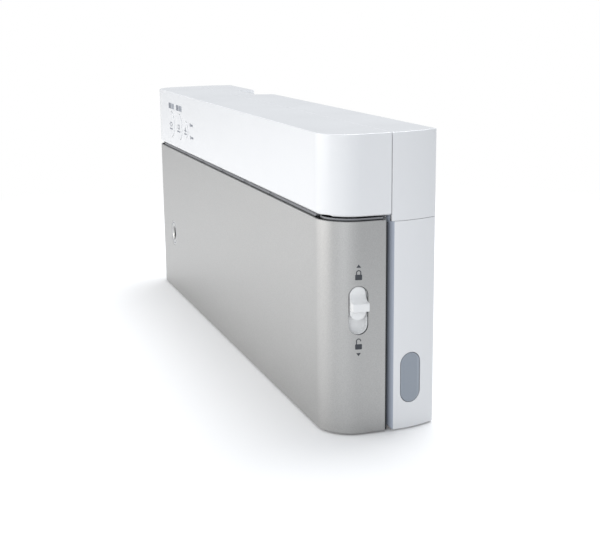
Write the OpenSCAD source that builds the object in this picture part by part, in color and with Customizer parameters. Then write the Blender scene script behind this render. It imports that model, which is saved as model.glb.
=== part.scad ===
// Vacuum bag sealer with a hinged lid, stored standing on its long edge.
// X runs along the length, -Y is the lid side, +Y is the side with the feet, +Z is up.
// Inside the file x = 0 is the middle of the length, y = 0 the outer face of the lid
// and z = 0 the lower edge of the shells. in_place() moves that to the part's own frame.

/* [Body] */
// Length of the body from end to end
body_l = 430; // [420:1:450]
// Thickness from the lid face to the back wall
body_t = 65; // [64:0.5:72]
// Height of the white band above the groove, at the front
panel_h = 43.7; // [42:0.1:52]
// How much higher the top face is at the back than at the front
top_rise = 0.9; // [0.2:0.1:2]
// Radius of the two front corners
corner_r = 20; // [16:0.5:24]
// Depth at which the ends start to curve inward
end_straight_t = 38.5; // [37.5:0.5:42]
// Radius of the inward curve of the ends
end_r = 57; // [52:1:80]
// Wall of the white shells
wall = 2.2; // [1.8:0.1:2.6]
// Width of the seams between the shells
seam = 0.4; // [0.2:0.1:0.6]
// Depth of the seam between the two upper covers
seam_y = 36.4; // [36:0.1:37.2]
// How far the seam between the base housing and the rear cover lies below the top of the lid
seam_drop = 1.2; // [0.6:0.1:2.4]

/* [Lid] */
// Height of the lid
lid_h = 119; // [118.5:0.1:121]
// Thickness of the lid
lid_t = 33.3; // [32.5:0.1:33.5]
// Thickness of the metal skin
skin_t = 1.2; // [0.8:0.1:1.4]
// Height of the groove between the lid and the control cover
groove_h = 2.3; // [2.1:0.1:3]
// Gap between the closed lid and the rim of the base
rim_gap = 0.9; // [0.8:0.1:1.3]
// Wall of the lid frame
frame_wall = 2; // [1.6:0.1:2.4]
// Thickness of the inner plate of the lid frame
plate_t = 5; // [4:0.1:6]
// Depth of the shallow recess in the inner plate
recess_t = 2; // [1:0.1:2.5]

/* [Hinge] */
// Depth of the hinge axis behind the lid face
hinge_y = 3.4; // [3.3:0.1:3.8]
// Distance of the hinge axis below the upper edge of the lid
hinge_drop = 0.6; // [0.4:0.1:0.8]
// Radius of the hinge rod
rod_r = 1; // [0.8:0.05:1.1]
// Radius of the round upper edge of the lid frame
bead_r = 2.15; // [1.9:0.05:2.2]
// Radius of the knuckles that hold the hinge rod
knuckle_r = 1.85; // [1.6:0.05:1.9]
// Width of a knuckle
knuckle_w = 10; // [6:1:16]
// Number of knuckles
knuckles = 5; // [3:2:7]
// Distance between knuckles
knuckle_pitch = 56; // [50:1:58]

/* [Vacuum channel and seal] */
// Length of the vacuum channel
channel_l = 300; // [280:5:310]
// Width of the vacuum channel
channel_w = 34; // [28:1:38]
// Depth of the vacuum channel
channel_t = 14; // [12:0.5:16]
// Height of the middle of the channel
channel_z = 60; // [56:1:64]
// Width of the gaskets
gasket_w = 6; // [4:0.5:7]
// Thickness of each gasket
gasket_t = 1.5; // [1.2:0.1:1.8]
// How far a gasket or strip stands proud
seal_proud = 0.3; // [0.1:0.05:0.3]
// Length of the seal bar
bar_l = 320; // [300:5:330]
// Width of the seal bar
bar_w = 10; // [8:0.5:12]
// Thickness of the seal bar
bar_t = 6; // [5:0.5:8]
// Height of the middle of the seal bar
bar_z = 16; // [13:0.5:20]
// Width of the heating ribbon
ribbon_w = 3; // [2:0.5:5]

/* [Store slider] */
// Width of the slider opening
slot_w = 10.7; // [9:0.1:12]
// Length of the slider opening
slot_l = 27; // [25:0.5:30]
// Depth of the middle of the slider opening behind the lid face
slot_y = 17.6; // [16:0.1:19]
// Height of the middle of the slider opening
slot_z = 70.4; // [66:0.2:76]
// Travel of the slider
slider_travel = 7; // [5:0.5:8]
// How far the thumb ridge stands out of the end
ridge_proud = 3.8; // [2.6:0.1:4.4]
// Height of the thumb ridge
ridge_h = 4.6; // [3:0.1:6]
// How far the face of the slider lies below the end of the lid
knob_sunk = 1.6; // [0.4:0.1:2]

/* [Release buttons] */
// Width of a release button
release_w = 12.4; // [10:0.1:14]
// Length of a release button
release_l = 28.4; // [24:0.2:32]
// Depth of the middle of a release button
release_y = 48.7; // [47:0.1:50]
// Height of the middle of a release button
release_z = 29.3; // [26:0.1:32]
// Travel of a release button
release_travel = 2.5; // [1.5:0.1:3]
// How far a release button stands proud
release_proud = 0.8; // [0.4:0.1:1.2]

/* [Control panel] */
// Diameter of the two large buttons
big_d = 20; // [16:0.5:22]
// Diameter of the small button
small_d = 13; // [10:0.5:14]
// Distance of the first large button from the left end
button_x = 61; // [54:1:68]
// Distance between the two large buttons
button_pitch = 27; // [25:0.5:30]
// Distance from the second large button to the small one
small_pitch = 23; // [20:0.5:26]
// Distance from the small button to the lamps
lamp_pitch = 10; // [9:0.5:14]
// Height of the row of buttons above the lower edge of the white band
button_rise = 18.1; // [16:0.1:24]
// How far the buttons stand proud
button_proud = 0.6; // [0.3:0.1:1]
// Travel of the buttons
button_travel = 0.7; // [0.4:0.1:1]
// Diameter of the lamp lenses
lamp_d = 2.4; // [1.6:0.1:3]

/* [Accessory port] */
// Diameter of the port collar
port_d = 20.9; // [18:0.1:24]
// Radius of the bore for the hose plug
port_bore_r = 5; // [4:0.1:5.5]
// Distance of the port from the left end
port_x = 56.4; // [52:0.2:62]
// Height of the port
port_z = 49; // [44:0.5:56]

/* [Feet] */
// Thickness of the rubber pads under the lower edges
pad_h = 0.8; // [0.5:0.1:1.5]
// Height of the feet on the back
foot_h = 1.8; // [1:0.1:3]
// Diameter of the feet on the back
foot_d = 12; // [8:0.5:16]

/* [Hidden] */
$fn = 48;

eps = 0.01;
over = 1;                 // how far a cut runs past a face
seat = 0.05;              // gap between pieces of one body that seat on each other
clear = 0.35;             // gap between pieces that move past each other
running = 0.05;           // radial clearance of a turning fit
snug = 0.02;              // radial clearance of a fixed pin or screw

half_l = body_l / 2;
mid_x = -ridge_proud / 2;
front_y = (button_proud - body_t - foot_h) / 2;

band_z = lid_h + groove_h;                 // underside of the control cover
body_h = band_z + panel_h;                 // height of the front top edge
top_z = body_h + top_rise;
top_angle = atan(top_rise / body_t);
seam_z = lid_h - seam_drop;
button_z = band_z + button_rise;
deck_y = lid_t + rim_gap;                  // face of the deck and of the base rim
deck_t = 2;
rim_bevel = 3.4;                           // bevel around the rim of the base
floor_z = band_z + wall;                   // inside floor of the control cover
hinge_z = lid_h - hinge_drop;
groove_r = norm([hinge_y, hinge_drop]) + clear;
straight_half = half_l - corner_r;         // half length of the straight front edge
bead_half = straight_half - 4;             // half length of the bead along the lid frame
rod_half = bead_half - 2;
knuckle_x = [for (i = [0 : knuckles - 1]) (i - (knuckles - 1) / 2) * knuckle_pitch];
neck_front = 0.3;                          // how far a knuckle's neck reaches in front of the axis

gasket_l = channel_l + 4;                  // inside length of the gasket rings
gasket_h = channel_w + 4;
recess_edge = 2;                           // land between a gasket and what it surrounds
channel_corner = 6;
land_edge = 2;                             // how far the trough reaches behind the deck
ring_corner = 4;                          // corner radius inside a gasket ring
bar_corner = 1;
strip_w = bar_w - 2;
strip_t = 2.4;
tape_t = 0.15;
ribbon_t = 0.1;
tape_edge = 0.5;                           // bare edge of the bar around the tape
tray_wall = 1;
tray_gap = 0.5;                            // gap between the tray and the channel
tray_drop = 2;                             // how far the rim of the tray lies below the deck
deck_top = band_z - seam / 2;
deck_low = rim_bevel + wall;

slider_play = 0.3;                         // gap on each side of the slider knob
slider_stop = 0.6;                         // spare length of the opening past the travel
slider_w = slot_w - 2 * slider_play;
slider_l = slot_l - slider_travel - 2 * clear - slider_stop;
slider_z = slot_z + slot_l / 2 - clear - slider_l / 2;
ridge_z = slider_z - 1.5;                  // middle of the thumb ridge
bed_x = half_l - 5.2;                      // outer face of the slider bed
bed_t = 1.6;
bed_rim = 2;                               // how far the slider bed reaches past its opening
ramp_x = knob_sunk + 0.4;                  // how deep the hollow ramp goes below the end of the lid
ramp_z = 0.6;                              // how far it cuts into the thumb ridge
neck_w = 3.2;
neck_l = 8;
lock_front = 5;                            // how far the lock plate reaches in front of the neck
lock_t = 2;
lock_x = bed_x - bed_t - clear - lock_t - 2;
tongue_l = 12;
tongue_y = deck_y + 6;                     // how deep the lock tongue reaches
tongue_room = 7;                           // way down that the tongue needs as the lid opens

hook_x = half_l - 21;
hook_w = 3;
hook_h = 10;
hook_z = release_z;
hook_y = deck_y + 12;
hook_room = 7;                             // way down that a hook needs as the lid opens
barb = 2.4;
barb_t = 4;
catch_t = 2.4;
catch_y = hook_y + 2 * clear;              // front face of the catch arm
stem_w = 6;
tooth_x = hook_x - hook_w / 2 - barb - clear - catch_t;
spring_r = 2.6;
spring_turns = 9;
spring_l = 4 * release_travel;
cap_t = release_travel + 6.5;              // depth of a release button
spring_seat_x = tooth_x - spring_l - seat;
spring_pitch = (spring_l - seat) / spring_turns;
spring_wire_r = 0.52 * spring_pitch;       // the turns just touch

post_r = 3.4;
screw_r = 1.3;
screw_head_r = 2.8;
screw_head_t = 1.6;
head_sunk = 0.2;                           // how far a screw head lies below the face around it
screw_start = 1;                           // bare end of a bore beyond the tip of its screw
screw_x = half_l - 58;
screw_xs = [-screw_x, 0, screw_x];
screw_low_z = lid_h - 21;
screw_high_z = floor_z + 14.5;
screw_tip = 9;
deck_boss_y = deck_y + deck_t + 6;         // where the deck bosses meet the housing posts
board_y = 9;
board_t = 1.6;
board_x = -half_l + button_x + button_pitch;
board_low_y = 4.5;
power_w = 62;
power_d = 22;
power_z = floor_z + 3;                     // underside of the power board
relay_w = 14;
relay_h = 12;
capacitor_r = 6;
capacitor_h = 16;
flange_t = 1;
stem_r = 2;
switch_t = 2;
board_w = 96;
board_h = 30;
switch_w = 6;
small_x = button_x + button_pitch + small_pitch;
lamp_x = small_x + lamp_pitch;
lamp_sunk = 0.1;                           // how far a lamp lens lies below the panel
board_post_in = 4;                         // distance of the board posts from its edges
board_post_r = 2;
lamp_gap = 9;

port_flange_t = 1.6;
port_tube_r = port_bore_r + 1.8;
collar_l = 4 * port_flange_t;
collar_r = port_tube_r - 0.6;
sleeve_l = 6;                              // length of the sleeve that holds the port tube

duct_r = 2;
duct_y = lid_t - plate_t - duct_r;
duct_end_x = -gasket_l / 2 + 4 * duct_r;
bush_x = -half_l + 70;
bush_z = floor_z + 22.5;
coil_x = bush_x + 36;
core_w = 52;
core_t = 30;
core_h = 34;
coil_out = 4;                              // how far the coil stands out of the core
core_y = body_t - wall - core_t - 2;
motor_x = half_l - 142;
motor_r = 12;
motor_l = 36;
cradle_in = 4;                             // how far the cradle stays short of the motor's ends
motor_y = 30;
motor_z = floor_z + motor_r + 5;
head_l = 26;
head_w = 26;
head_wall = 6;
valve_y = motor_y + head_w / 2;            // face of the pump head that the valve is screwed in
valve_sunk = 4;
valve_l = 3;
valve_r = 4;
shaft_r = 1.5;
eccentric_r = 6;
eccentric_off = 2;
eccentric_t = 8;
eccentric_x = motor_x + motor_l + 4;
shaft_end = 2;
bearing_l = 10;
motor_boss_l = 3;
motor_boss_r = 4;
hose_r = 2.6;
hose_x = motor_x + motor_l + head_l / 2;
hose_y = 54;
nozzle_l = 3.5;
nozzle_r = 1.8;
nozzle_bore_r = 1;
nozzle_z = channel_z + 2;
hose_low_y = deck_y + channel_t + wall + seat;
// Points that the hose is laid through, from the channel to the check valve
hose_points = [
  [hose_x, hose_low_y, nozzle_z], [hose_x, hose_low_y + 3.4, nozzle_z],
  [hose_x, hose_low_y + 5.8, nozzle_z + 1.2], [hose_x, hose_low_y + 7.2, nozzle_z + 3.6],
  [hose_x, hose_low_y + 7.4, nozzle_z + 8], [hose_x, hose_low_y + 7, screw_low_z - 2],
  [hose_x, hose_y, seam_z - 6], [hose_x, hose_y, floor_z + 2.5], [hose_x, hose_y - 0.6, motor_z - 5.4],
  [hose_x, hose_y - 2, motor_z - 2.4], [hose_x, hose_y - 4.4, motor_z - 0.4],
  [hose_x, valve_y + valve_l + 2, motor_z], [hose_x, valve_y + valve_l + seat, motor_z]];
bush_r = 5;
bush_bore_r = 3.3;
bush_lip = 1.2;
terminal_x = bar_l / 2 - 6;
terminal_r = 1.6;
bar_sink = 0.4;                            // how far the seal bar lies below the deck
ribbon_y = deck_y + bar_sink - eps - ribbon_t; // front face of the heating ribbon
lead_r = 0.9;
lead_y = deck_y + bar_t + wall + 2 + lead_r;
frame_top = lid_h - 0.4;
lid_screw_xs = [for (side = [-1, 1], from_end = [26, 116]) side * (half_l - from_end)];
lid_screw_z = lid_h - 19;
foot_x = half_l - 30;
foot_low_z = 22;
foot_high_z = body_h - foot_low_z;
foot_sink = 1;
pad_l = 18;
pad_w = 6;
pad_sink = 0.6;
pad_xs = [for (side = [-1, 1], from_end = [56, 156]) side * (half_l - from_end)];
lid_pad_x = half_l - 46;
lid_pad_xs = [-lid_pad_x, 0, lid_pad_x];
base_pad_y = body_t - 12;
lid_pad_y = 14;
scoop_x = -half_l + 78;                    // left wall of the scoop in the back top edge
scoop_l = 48;
scoop_w = 10;
scoop_h = 3.9;

// ---- shared shapes ----

module in_place() translate([mid_x, front_y, pad_h]) children();

// Plan outline of the body: round front corners, ends that curve in towards the back
module plan(inset = 0) {
  intersection() {
    translate([-half_l + inset, inset]) square([body_l - 2 * inset, body_t - 2 * inset]);
    union() {
      for (side = [-1, 1])
        translate([side * (half_l - corner_r), corner_r]) circle(corner_r - inset);
      translate([-(half_l - corner_r), 0]) square([2 * (half_l - corner_r), body_t]);
      translate([-half_l, corner_r]) square([body_l, end_straight_t - corner_r]);
      intersection() {
        translate([-half_l, end_straight_t - eps]) square([body_l, body_t]);
        union() {
          for (side = [-1, 1])
            translate([side * (half_l - end_r), end_straight_t]) circle(end_r - inset, $fn = 120);
          translate([-(half_l - end_r), 0]) square([2 * (half_l - end_r), body_t]);
        }
      }
    }
  }
}

module column(low, high, inset = 0) translate([0, 0, low]) linear_extrude(high - low) plan(inset);

// Keeps what lies between two depths
module between(near, far) intersection() {
  children();
  translate([-body_l, near, -body_h]) cube([2 * body_l, far - near, 3 * body_h]);
}

// Takes away what lies above the sloping top face, or above a plane that lies deeper
module under_top(drop = 0) difference() {
  children();
  translate([-body_l, -over, body_h - drop - over * top_rise / body_t])
    rotate([top_angle, 0, 0]) cube([2 * body_l, 2 * body_t, body_h]);
}

// Box given by its middle in X and Z, its near and far depth, and its size
module block(x, near, far, z, w, h) translate([x - w / 2, near, z - h / 2]) cube([w, far - near, h]);

// Rounded bar along Y with its middle at x, z
module slab_pill(x, near, far, z, l, h, r) {
  block(x, near, far, z, l - 2 * r, h);
  block(x, near, far, z, l, h - 2 * r);
  for (sx = [-1, 1], sz = [-1, 1])
    translate([x + sx * (l / 2 - r), near, z + sz * (h / 2 - r)])
      rotate([-90, 0, 0]) cylinder(r = r, h = far - near);
}

// Upright pill along X with its middle at y, z
module end_pill(low_x, high_x, y, z, w, l) {
  translate([low_x, y - w / 2, z - l / 2 + w / 2]) cube([high_x - low_x, w, l - w]);
  for (s = [-1, 1])
    translate([low_x, y, z + s * (l - w) / 2]) rotate([0, 90, 0]) cylinder(d = w, h = high_x - low_x);
}

// Round bar along Y, from one depth to another
module peg(x, near, far, z, r)
  translate([x, near, z]) rotate([-90, 0, 0]) cylinder(r = r, h = far - near);

// Round bar along X, from one place to another
module rod(low_x, high_x, y, z, r)
  translate([low_x, y, z]) rotate([0, 90, 0]) cylinder(r = r, h = high_x - low_x);

// Closed ring that a gasket fills
module gasket_ring(near, far, extra = 0) difference() {
  slab_pill(0, near, far, channel_z, gasket_l + 2 * (gasket_w + extra),
    gasket_h + 2 * (gasket_w + extra), 2 * ring_corner);
  slab_pill(0, near - over, far + over, channel_z, gasket_l - 2 * extra,
    gasket_h - 2 * extra, ring_corner);
}

function unit(v) = v / norm(v);
function heading(p, i) = unit(p[min(i + 1, len(p) - 1)] - p[max(i - 1, 0)]);
function ring_at(p, i, r, n, side) =
  let (t = heading(p, i), u = unit(cross(side, t)), w = cross(t, u))
  [for (k = [0 : n - 1]) p[i] + r * (cos(360 * k / n) * u + sin(360 * k / n) * w)];

// Tube of radius r swept along the points p
module sweep(p, r, n = 10, side = [0, 1, 0.2]) {
  last = len(p) - 1;
  polyhedron(
    [for (i = [0 : last]) each ring_at(p, i, r, n, side)],
    concat(
      [[for (k = [0 : n - 1]) k], [for (k = [n - 1 : -1 : 0]) last * n + k]],
      [for (i = [0 : last - 1], k = [0 : n - 1])
        [i * n + k, (i + 1) * n + k, (i + 1) * n + (k + 1) % n, i * n + (k + 1) % n]]),
    convexity = 8);
}

// ---- white shells ----

module screw_posts(near, z) for (x = screw_xs) peg(x, near, body_t - wall / 2, z, post_r);

module screw_bores(near, z) for (x = screw_xs) {
  peg(x, near - over, body_t + over, z, screw_r + snug);
  peg(x, body_t - screw_head_t - seat, body_t + over, z, screw_head_r + snug);
}

module release_opening(side) mirror([side < 0 ? 1 : 0, 0, 0])
  end_pill(half_l - 4 * wall, half_l + over, release_y, release_z,
    release_w + 2 * clear, release_l + 2 * clear);

module rim_bevels() {
  for (side = [-1, 1]) mirror([side < 0 ? 1 : 0, 0, 0]) translate([0, 0, -over])
    linear_extrude(deck_top + 2 * over) polygon([
      [half_l - rim_bevel, deck_y], [half_l + over, deck_y + rim_bevel + over],
      [half_l + over, deck_y - over], [half_l - rim_bevel, deck_y - over]]);
  translate([-body_l, 0, 0]) rotate([90, 0, 90]) linear_extrude(2 * body_l) polygon([
    [deck_y, rim_bevel], [deck_y + rim_bevel + over, -over],
    [deck_y - over, -over], [deck_y - over, rim_bevel]]);
}

module base_housing() in_place() color("whitesmoke") difference() {
  union() {
    difference() {
      between(deck_y, body_t) column(0, seam_z - seam / 2);
      between(deck_y - over, body_t - wall) column(wall, seam_z + over, wall);
    }
    // thick rim behind the bevel, which the deck seats in
    difference() {
      union() {
        between(deck_y, deck_y + rim_bevel) column(0, seam_z - seam / 2);
        between(deck_y, seam_y - seam / 2) column(seam_z - seam, deck_top);
      }
      between(deck_y - over, deck_y + rim_bevel + over)
        column(deck_low, deck_top + over, deck_low);
    }
    intersection() {
      screw_posts(deck_boss_y, screw_low_z);
      column(0, seam_z - seam / 2, wall / 2);
    }
    // ribs that the catch springs push against
    for (side = [-1, 1])
      block(side * (spring_seat_x - catch_t / 2 - seat), deck_boss_y, body_t - wall / 2, release_z,
        catch_t, 3 * spring_r);
  }
  screw_bores(deck_boss_y, screw_low_z);
  rim_bevels();
  for (side = [-1, 1]) release_opening(side);
  pad_pockets(pad_xs, base_pad_y);
  foot_pockets(foot_low_z);
}

module rear_cover() in_place() color("whitesmoke") difference() {
  union() {
    difference() {
      between(seam_y + seam / 2, body_t) under_top() column(seam_z + seam / 2, top_z + over);
      between(seam_y - over, body_t - wall) under_top(wall)
        column(seam_z - over, top_z + over, wall);
    }
    screw_posts(seam_y + seam / 2, screw_high_z);
  }
  screw_bores(seam_y + seam / 2, screw_high_z);
  // scoop in the back top edge: one upright wall on the left, running out to nothing
  translate([scoop_x, body_t, top_z]) polyhedron(
    [[0, -scoop_w, 0], [0, over, 0], [0, over, -scoop_h], [scoop_l, over, 0],
     [0, -scoop_w, over], [0, over, over], [scoop_l, over, over]],
    [[3, 2, 0], [2, 5, 4, 0], [3, 6, 5, 2], [4, 6, 3, 0], [5, 6, 4]], convexity = 2);
  peg(bush_x, body_t - 2 * wall, body_t + over, bush_z, bush_r + snug);
  foot_pockets(foot_high_z);
}

module knuckle_tabs() for (x = knuckle_x) difference() {
  union() {
    rod(x - knuckle_w / 2, x + knuckle_w / 2, hinge_y, hinge_z, knuckle_r);
    translate([x - knuckle_w / 2, hinge_y - neck_front, hinge_z])
      cube([knuckle_w, knuckle_r + neck_front, floor_z - hinge_z]);
  }
  rod(x - knuckle_w, x + knuckle_w, hinge_y, hinge_z, rod_r + snug);
}

module control_cover() in_place() color("white") {
  difference() {
    between(0, seam_y - seam / 2) under_top() column(band_z, top_z + over);
    between(-over, seam_y + over) under_top(wall) column(floor_z, top_z + over, wall);
    rod(-half_l + wall, half_l - wall, hinge_y, hinge_z, groove_r);
    for (x = [button_x, button_x + button_pitch])
      peg(x - half_l, -over, 2 * wall, button_z, big_d / 2 + clear);
    peg(small_x - half_l, -over, 2 * wall, button_z, small_d / 2 + clear);
    for (s = [-1, 1])
      peg(lamp_x - half_l, -over, 2 * wall, button_z + s * lamp_gap / 2, lamp_d / 2 + snug);
  }
  knuckle_tabs();
  // posts for the control board
  for (sx = [-1, 1], sz = [-1, 1])
    peg(board_x + sx * (board_w / 2 - board_post_in), wall - eps, board_y - seat,
      button_z + sz * (board_h / 2 - board_post_in), board_post_r);
  // bosses that the upper case screws run into
  for (x = screw_xs) difference() {
    translate([x - post_r, seam_y - screw_tip, floor_z - eps])
      cube([2 * post_r, screw_tip - seam, screw_high_z + post_r - floor_z]);
    peg(x, seam_y - screw_tip + wall, seam_y + over, screw_high_z, screw_r + snug);
  }
}

// ---- deck and what it carries ----

// Outline of the land around the lower gasket, grown by a margin
module channel_land(near, far, extra = 0)
  slab_pill(0, near, far, channel_z, gasket_l + 2 * (gasket_w + wall + extra),
    gasket_h + 2 * (gasket_w + wall + extra), 2 * ring_corner + extra);

module deck() in_place() color("gainsboro") difference() {
  union() {
    between(deck_y, deck_y + deck_t) column(deck_low + seat, deck_top, deck_low + seat);
    // backing of the seal bar
    slab_pill(0, deck_y + eps, deck_y + bar_t + wall, bar_z, bar_l + 2 * wall, bar_w + 2 * wall,
      2 * bar_corner);
    for (x = screw_xs) peg(x, deck_y + eps, deck_boss_y - seat, screw_low_z, post_r);
  }
  channel_land(deck_y - over, deck_y + 2 * deck_t, seat);
  slab_pill(0, deck_y - over, deck_y + bar_t, bar_z, bar_l + 2 * seat, bar_w + 2 * seat, bar_corner);
  for (side = [-1, 1]) peg(side * terminal_x, deck_y, deck_y + 2 * bar_t, bar_z, terminal_r + snug);
  for (side = [-1, 1]) hook_opening(side);
  tongue_opening(deck_y - over, deck_y + 2 * deck_t);
  for (x = screw_xs) peg(x, deck_y + deck_t, deck_boss_y + over, screw_low_z, screw_r + snug);
}

// Trough that stands in the window of the deck and carries the lower gasket
module vacuum_channel() in_place() color("gainsboro") difference() {
  union() {
    channel_land(deck_y, deck_y + gasket_t + deck_t);
    // edge that bears on the back of the deck
    channel_land(deck_y + deck_t + seat, deck_y + gasket_t + deck_t, land_edge);
    slab_pill(0, deck_y + deck_t, deck_y + channel_t + wall, channel_z,
      channel_l + 2 * wall, channel_w + 2 * wall, channel_corner + wall);
    // nozzle that the vacuum hose is pushed on
    peg(hose_x, deck_y + channel_t + wall - eps, deck_y + channel_t + wall + nozzle_l,
      nozzle_z, nozzle_r);
  }
  slab_pill(0, deck_y - over, deck_y + channel_t, channel_z, channel_l, channel_w, channel_corner);
  gasket_ring(deck_y - over, deck_y + gasket_t, seat);
  peg(hose_x, deck_y + channel_t / 2, deck_y + 2 * channel_t, nozzle_z, nozzle_bore_r);
}

module hook_opening(side) translate([side * (hook_x - barb / 2), 0, 0])
  block(0, deck_y - over, deck_y + 2 * deck_t, hook_z - hook_room / 2,
    hook_w + barb + 4 * clear, hook_h + hook_room + 2 * clear);

module tongue_opening(near, far) translate([lock_x + lock_t / 2, 0, 0])
  block(0, near, far, slider_z - (slider_travel + tongue_room) / 2,
    lock_t + 4 * clear, tongue_l + slider_travel + tongue_room + 3 * clear);

module lower_gasket() in_place() color("dimgray") gasket_ring(deck_y + seat, deck_y + gasket_t - seat);

module drip_tray() in_place() color("lightgray") difference() {
  slab_pill(0, deck_y + tray_drop, deck_y + channel_t - seat, channel_z, channel_l - 2 * tray_gap,
    channel_w - 2 * tray_gap, channel_corner - tray_gap);
  slab_pill(0, deck_y, deck_y + channel_t - seat - tray_wall, channel_z,
    channel_l - 2 * (tray_gap + tray_wall), channel_w - 2 * (tray_gap + tray_wall),
    channel_corner - tray_gap - tray_wall);
  // hole over the nozzle of the channel
  peg(hose_x, deck_y, deck_y + 2 * channel_t, nozzle_z, nozzle_r);
}

module seal_bar() in_place() color("silver") difference() {
  slab_pill(0, deck_y + bar_sink, deck_y + bar_t - seat, bar_z, bar_l, bar_w, bar_corner);
  for (side = [-1, 1]) peg(side * terminal_x, deck_y, deck_y + 2 * bar_t, bar_z, terminal_r + snug);
}

module heating_ribbon() in_place() color("darkgray")
  block(0, ribbon_y, deck_y + bar_sink - eps, bar_z, 2 * terminal_x, ribbon_w);

module release_tape() in_place() color("tan")
  block(0, ribbon_y - tape_t - eps, ribbon_y - eps, bar_z, bar_l - 2 * tape_edge,
    bar_w - 2 * tape_edge);

module heater_terminals() in_place() color("goldenrod") for (side = [-1, 1]) {
  peg(side * terminal_x, deck_y + bar_sink, lead_y + lead_r, bar_z, terminal_r);
  peg(side * terminal_x, deck_y + bar_t + wall + seat, lead_y - lead_r, bar_z, 2 * terminal_r);
}

// Points that a lead is laid through, from the terminal to the power board
function lead_route(side) = [
  [side * (terminal_x - 3), lead_y, bar_z], [side * (terminal_x - 10), lead_y + 4, bar_z + 2],
  [side * (screw_x - 12), lead_y + 7.4, bar_z + 12], [side * (screw_x - 14), lead_y + 8, channel_z - 4],
  [side * (screw_x - 14), lead_y + 7.6, channel_z + 18],
  [side * (screw_x - 18), lead_y + 2, screw_low_z - 2],
  [side * (screw_x - 38), lead_y + 1, seam_z - 10], [side * 66, lead_y + 1, seam_z - 4],
  [side * 50, lead_y - 1, seam_z + 4], [side * 34, board_low_y + 29, floor_z + 6.5],
  [side * 24, board_low_y + 18, power_z + board_t + 2 * lead_r]];

module heater_leads() in_place() color("firebrick") for (side = [-1, 1]) {
  sweep(lead_route(side), lead_r, 8);
  // ring tongue on the terminal
  difference() {
    peg(side * terminal_x, lead_y - lead_r + seat, lead_y, bar_z, 2 * terminal_r);
    peg(side * terminal_x, deck_y, body_t, bar_z, terminal_r + snug);
  }
}

// ---- lid ----

module slider_opening(low_x, high_x, extra = 0)
  end_pill(low_x, high_x, slot_y, slot_z, slot_w + 2 * extra, slot_l + 2 * extra);

module lid_skin() in_place() color("silver") difference() {
  between(0, lid_t) column(0, lid_h);
  between(-over, lid_t + over) column(skin_t, lid_h + over, skin_t);
  peg(port_x - half_l, -over, 2 * skin_t, port_z, port_d / 2 + snug);
  slider_opening(half_l - corner_r / 2, half_l + over);
  pad_pockets(lid_pad_xs, lid_pad_y);
}

module lid_frame() in_place() color("dimgray") difference() {
  union() {
    difference() {
      between(skin_t + seat, lid_t) column(skin_t + seat, frame_top, skin_t + seat);
      between(0, lid_t - plate_t)
        column(skin_t + frame_wall, frame_top - frame_wall, skin_t + seat + frame_wall);
    }
    rod(-bead_half, bead_half, hinge_y, hinge_z, bead_r);
    // sleeve that the accessory port tube stands in
    peg(port_x - half_l, lid_t - plate_t - sleeve_l, lid_t - recess_t, port_z, port_tube_r + frame_wall);
    // duct from the accessory port to the sealed area
    translate([port_x - half_l, duct_y - 2 * duct_r, port_z - 2 * duct_r])
      cube([duct_end_x - port_x + half_l + 2 * duct_r, lid_t - recess_t - duct_y + 2 * duct_r,
        4 * duct_r]);
    // bosses that the lid screws run into
    for (x = lid_screw_xs) peg(x, skin_t + seat, lid_t - plate_t + eps, lid_screw_z, post_r);
  }
  // bore for the hinge rod, and gaps around the knuckles
  rod(-half_l, half_l, hinge_y, hinge_z, rod_r + running);
  for (x = knuckle_x)
    translate([x - knuckle_w / 2 - clear, 0, hinge_z - knuckle_r - clear])
      cube([knuckle_w + 2 * clear, hinge_y + knuckle_r + 2 * clear, 3 * knuckle_r + body_h]);
  slab_pill(0, lid_t - recess_t, lid_t + over, channel_z, gasket_l - 2 * recess_edge,
    gasket_h - 2 * recess_edge, ring_corner);
  peg(port_x - half_l, lid_t - plate_t - sleeve_l - over, lid_t - plate_t, port_z, port_tube_r + snug);
  // the collar of the port stands in the front wall
  peg(port_x - half_l, 0, port_flange_t + seat, port_z, port_d / 2 + snug);
  peg(port_x - half_l, 0, 2 * frame_wall + skin_t, port_z, collar_r + snug);
  rod(port_x - half_l, duct_end_x, duct_y, port_z, duct_r);
  peg(duct_end_x, duct_y, lid_t + over, port_z, duct_r);
  gasket_ring(lid_t - gasket_t, lid_t + over, seat);
  slab_pill(0, lid_t - strip_t, lid_t + over, bar_z, bar_l + 2 * seat,
    strip_w + 2 * seat, bar_corner);
  slider_opening(bed_x - bed_t, half_l + over, bed_rim);
  tongue_opening(lid_t - plate_t - over, lid_t + over);
  for (side = [-1, 1])
    block(side * hook_x, lid_t - plate_t / 2, lid_t + over, hook_z, hook_w + 2 * seat,
      hook_h + 2 * seat);
  for (x = lid_screw_xs) {
    peg(x, skin_t + screw_tip, lid_t + over, lid_screw_z, screw_r + snug);
    peg(x, lid_t - screw_head_t - seat, lid_t + over, lid_screw_z, screw_head_r + snug);
  }
}

module lid_screws() in_place() color("gray") for (x = lid_screw_xs) {
  peg(x, skin_t + screw_tip + seat, lid_t - screw_head_t, lid_screw_z, screw_r);
  peg(x, lid_t - screw_head_t, lid_t - head_sunk, lid_screw_z, screw_head_r);
}

module hinge_rod() in_place() color("lightslategray")
  rod(-rod_half, rod_half, hinge_y, hinge_z, rod_r);

module upper_gasket() in_place() color("dimgray")
  gasket_ring(lid_t - gasket_t + seat, lid_t + seal_proud);

module press_strip() in_place() color("slategray")
  slab_pill(0, lid_t - strip_t + seat, lid_t + seal_proud, bar_z, bar_l, strip_w, bar_corner);

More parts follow.
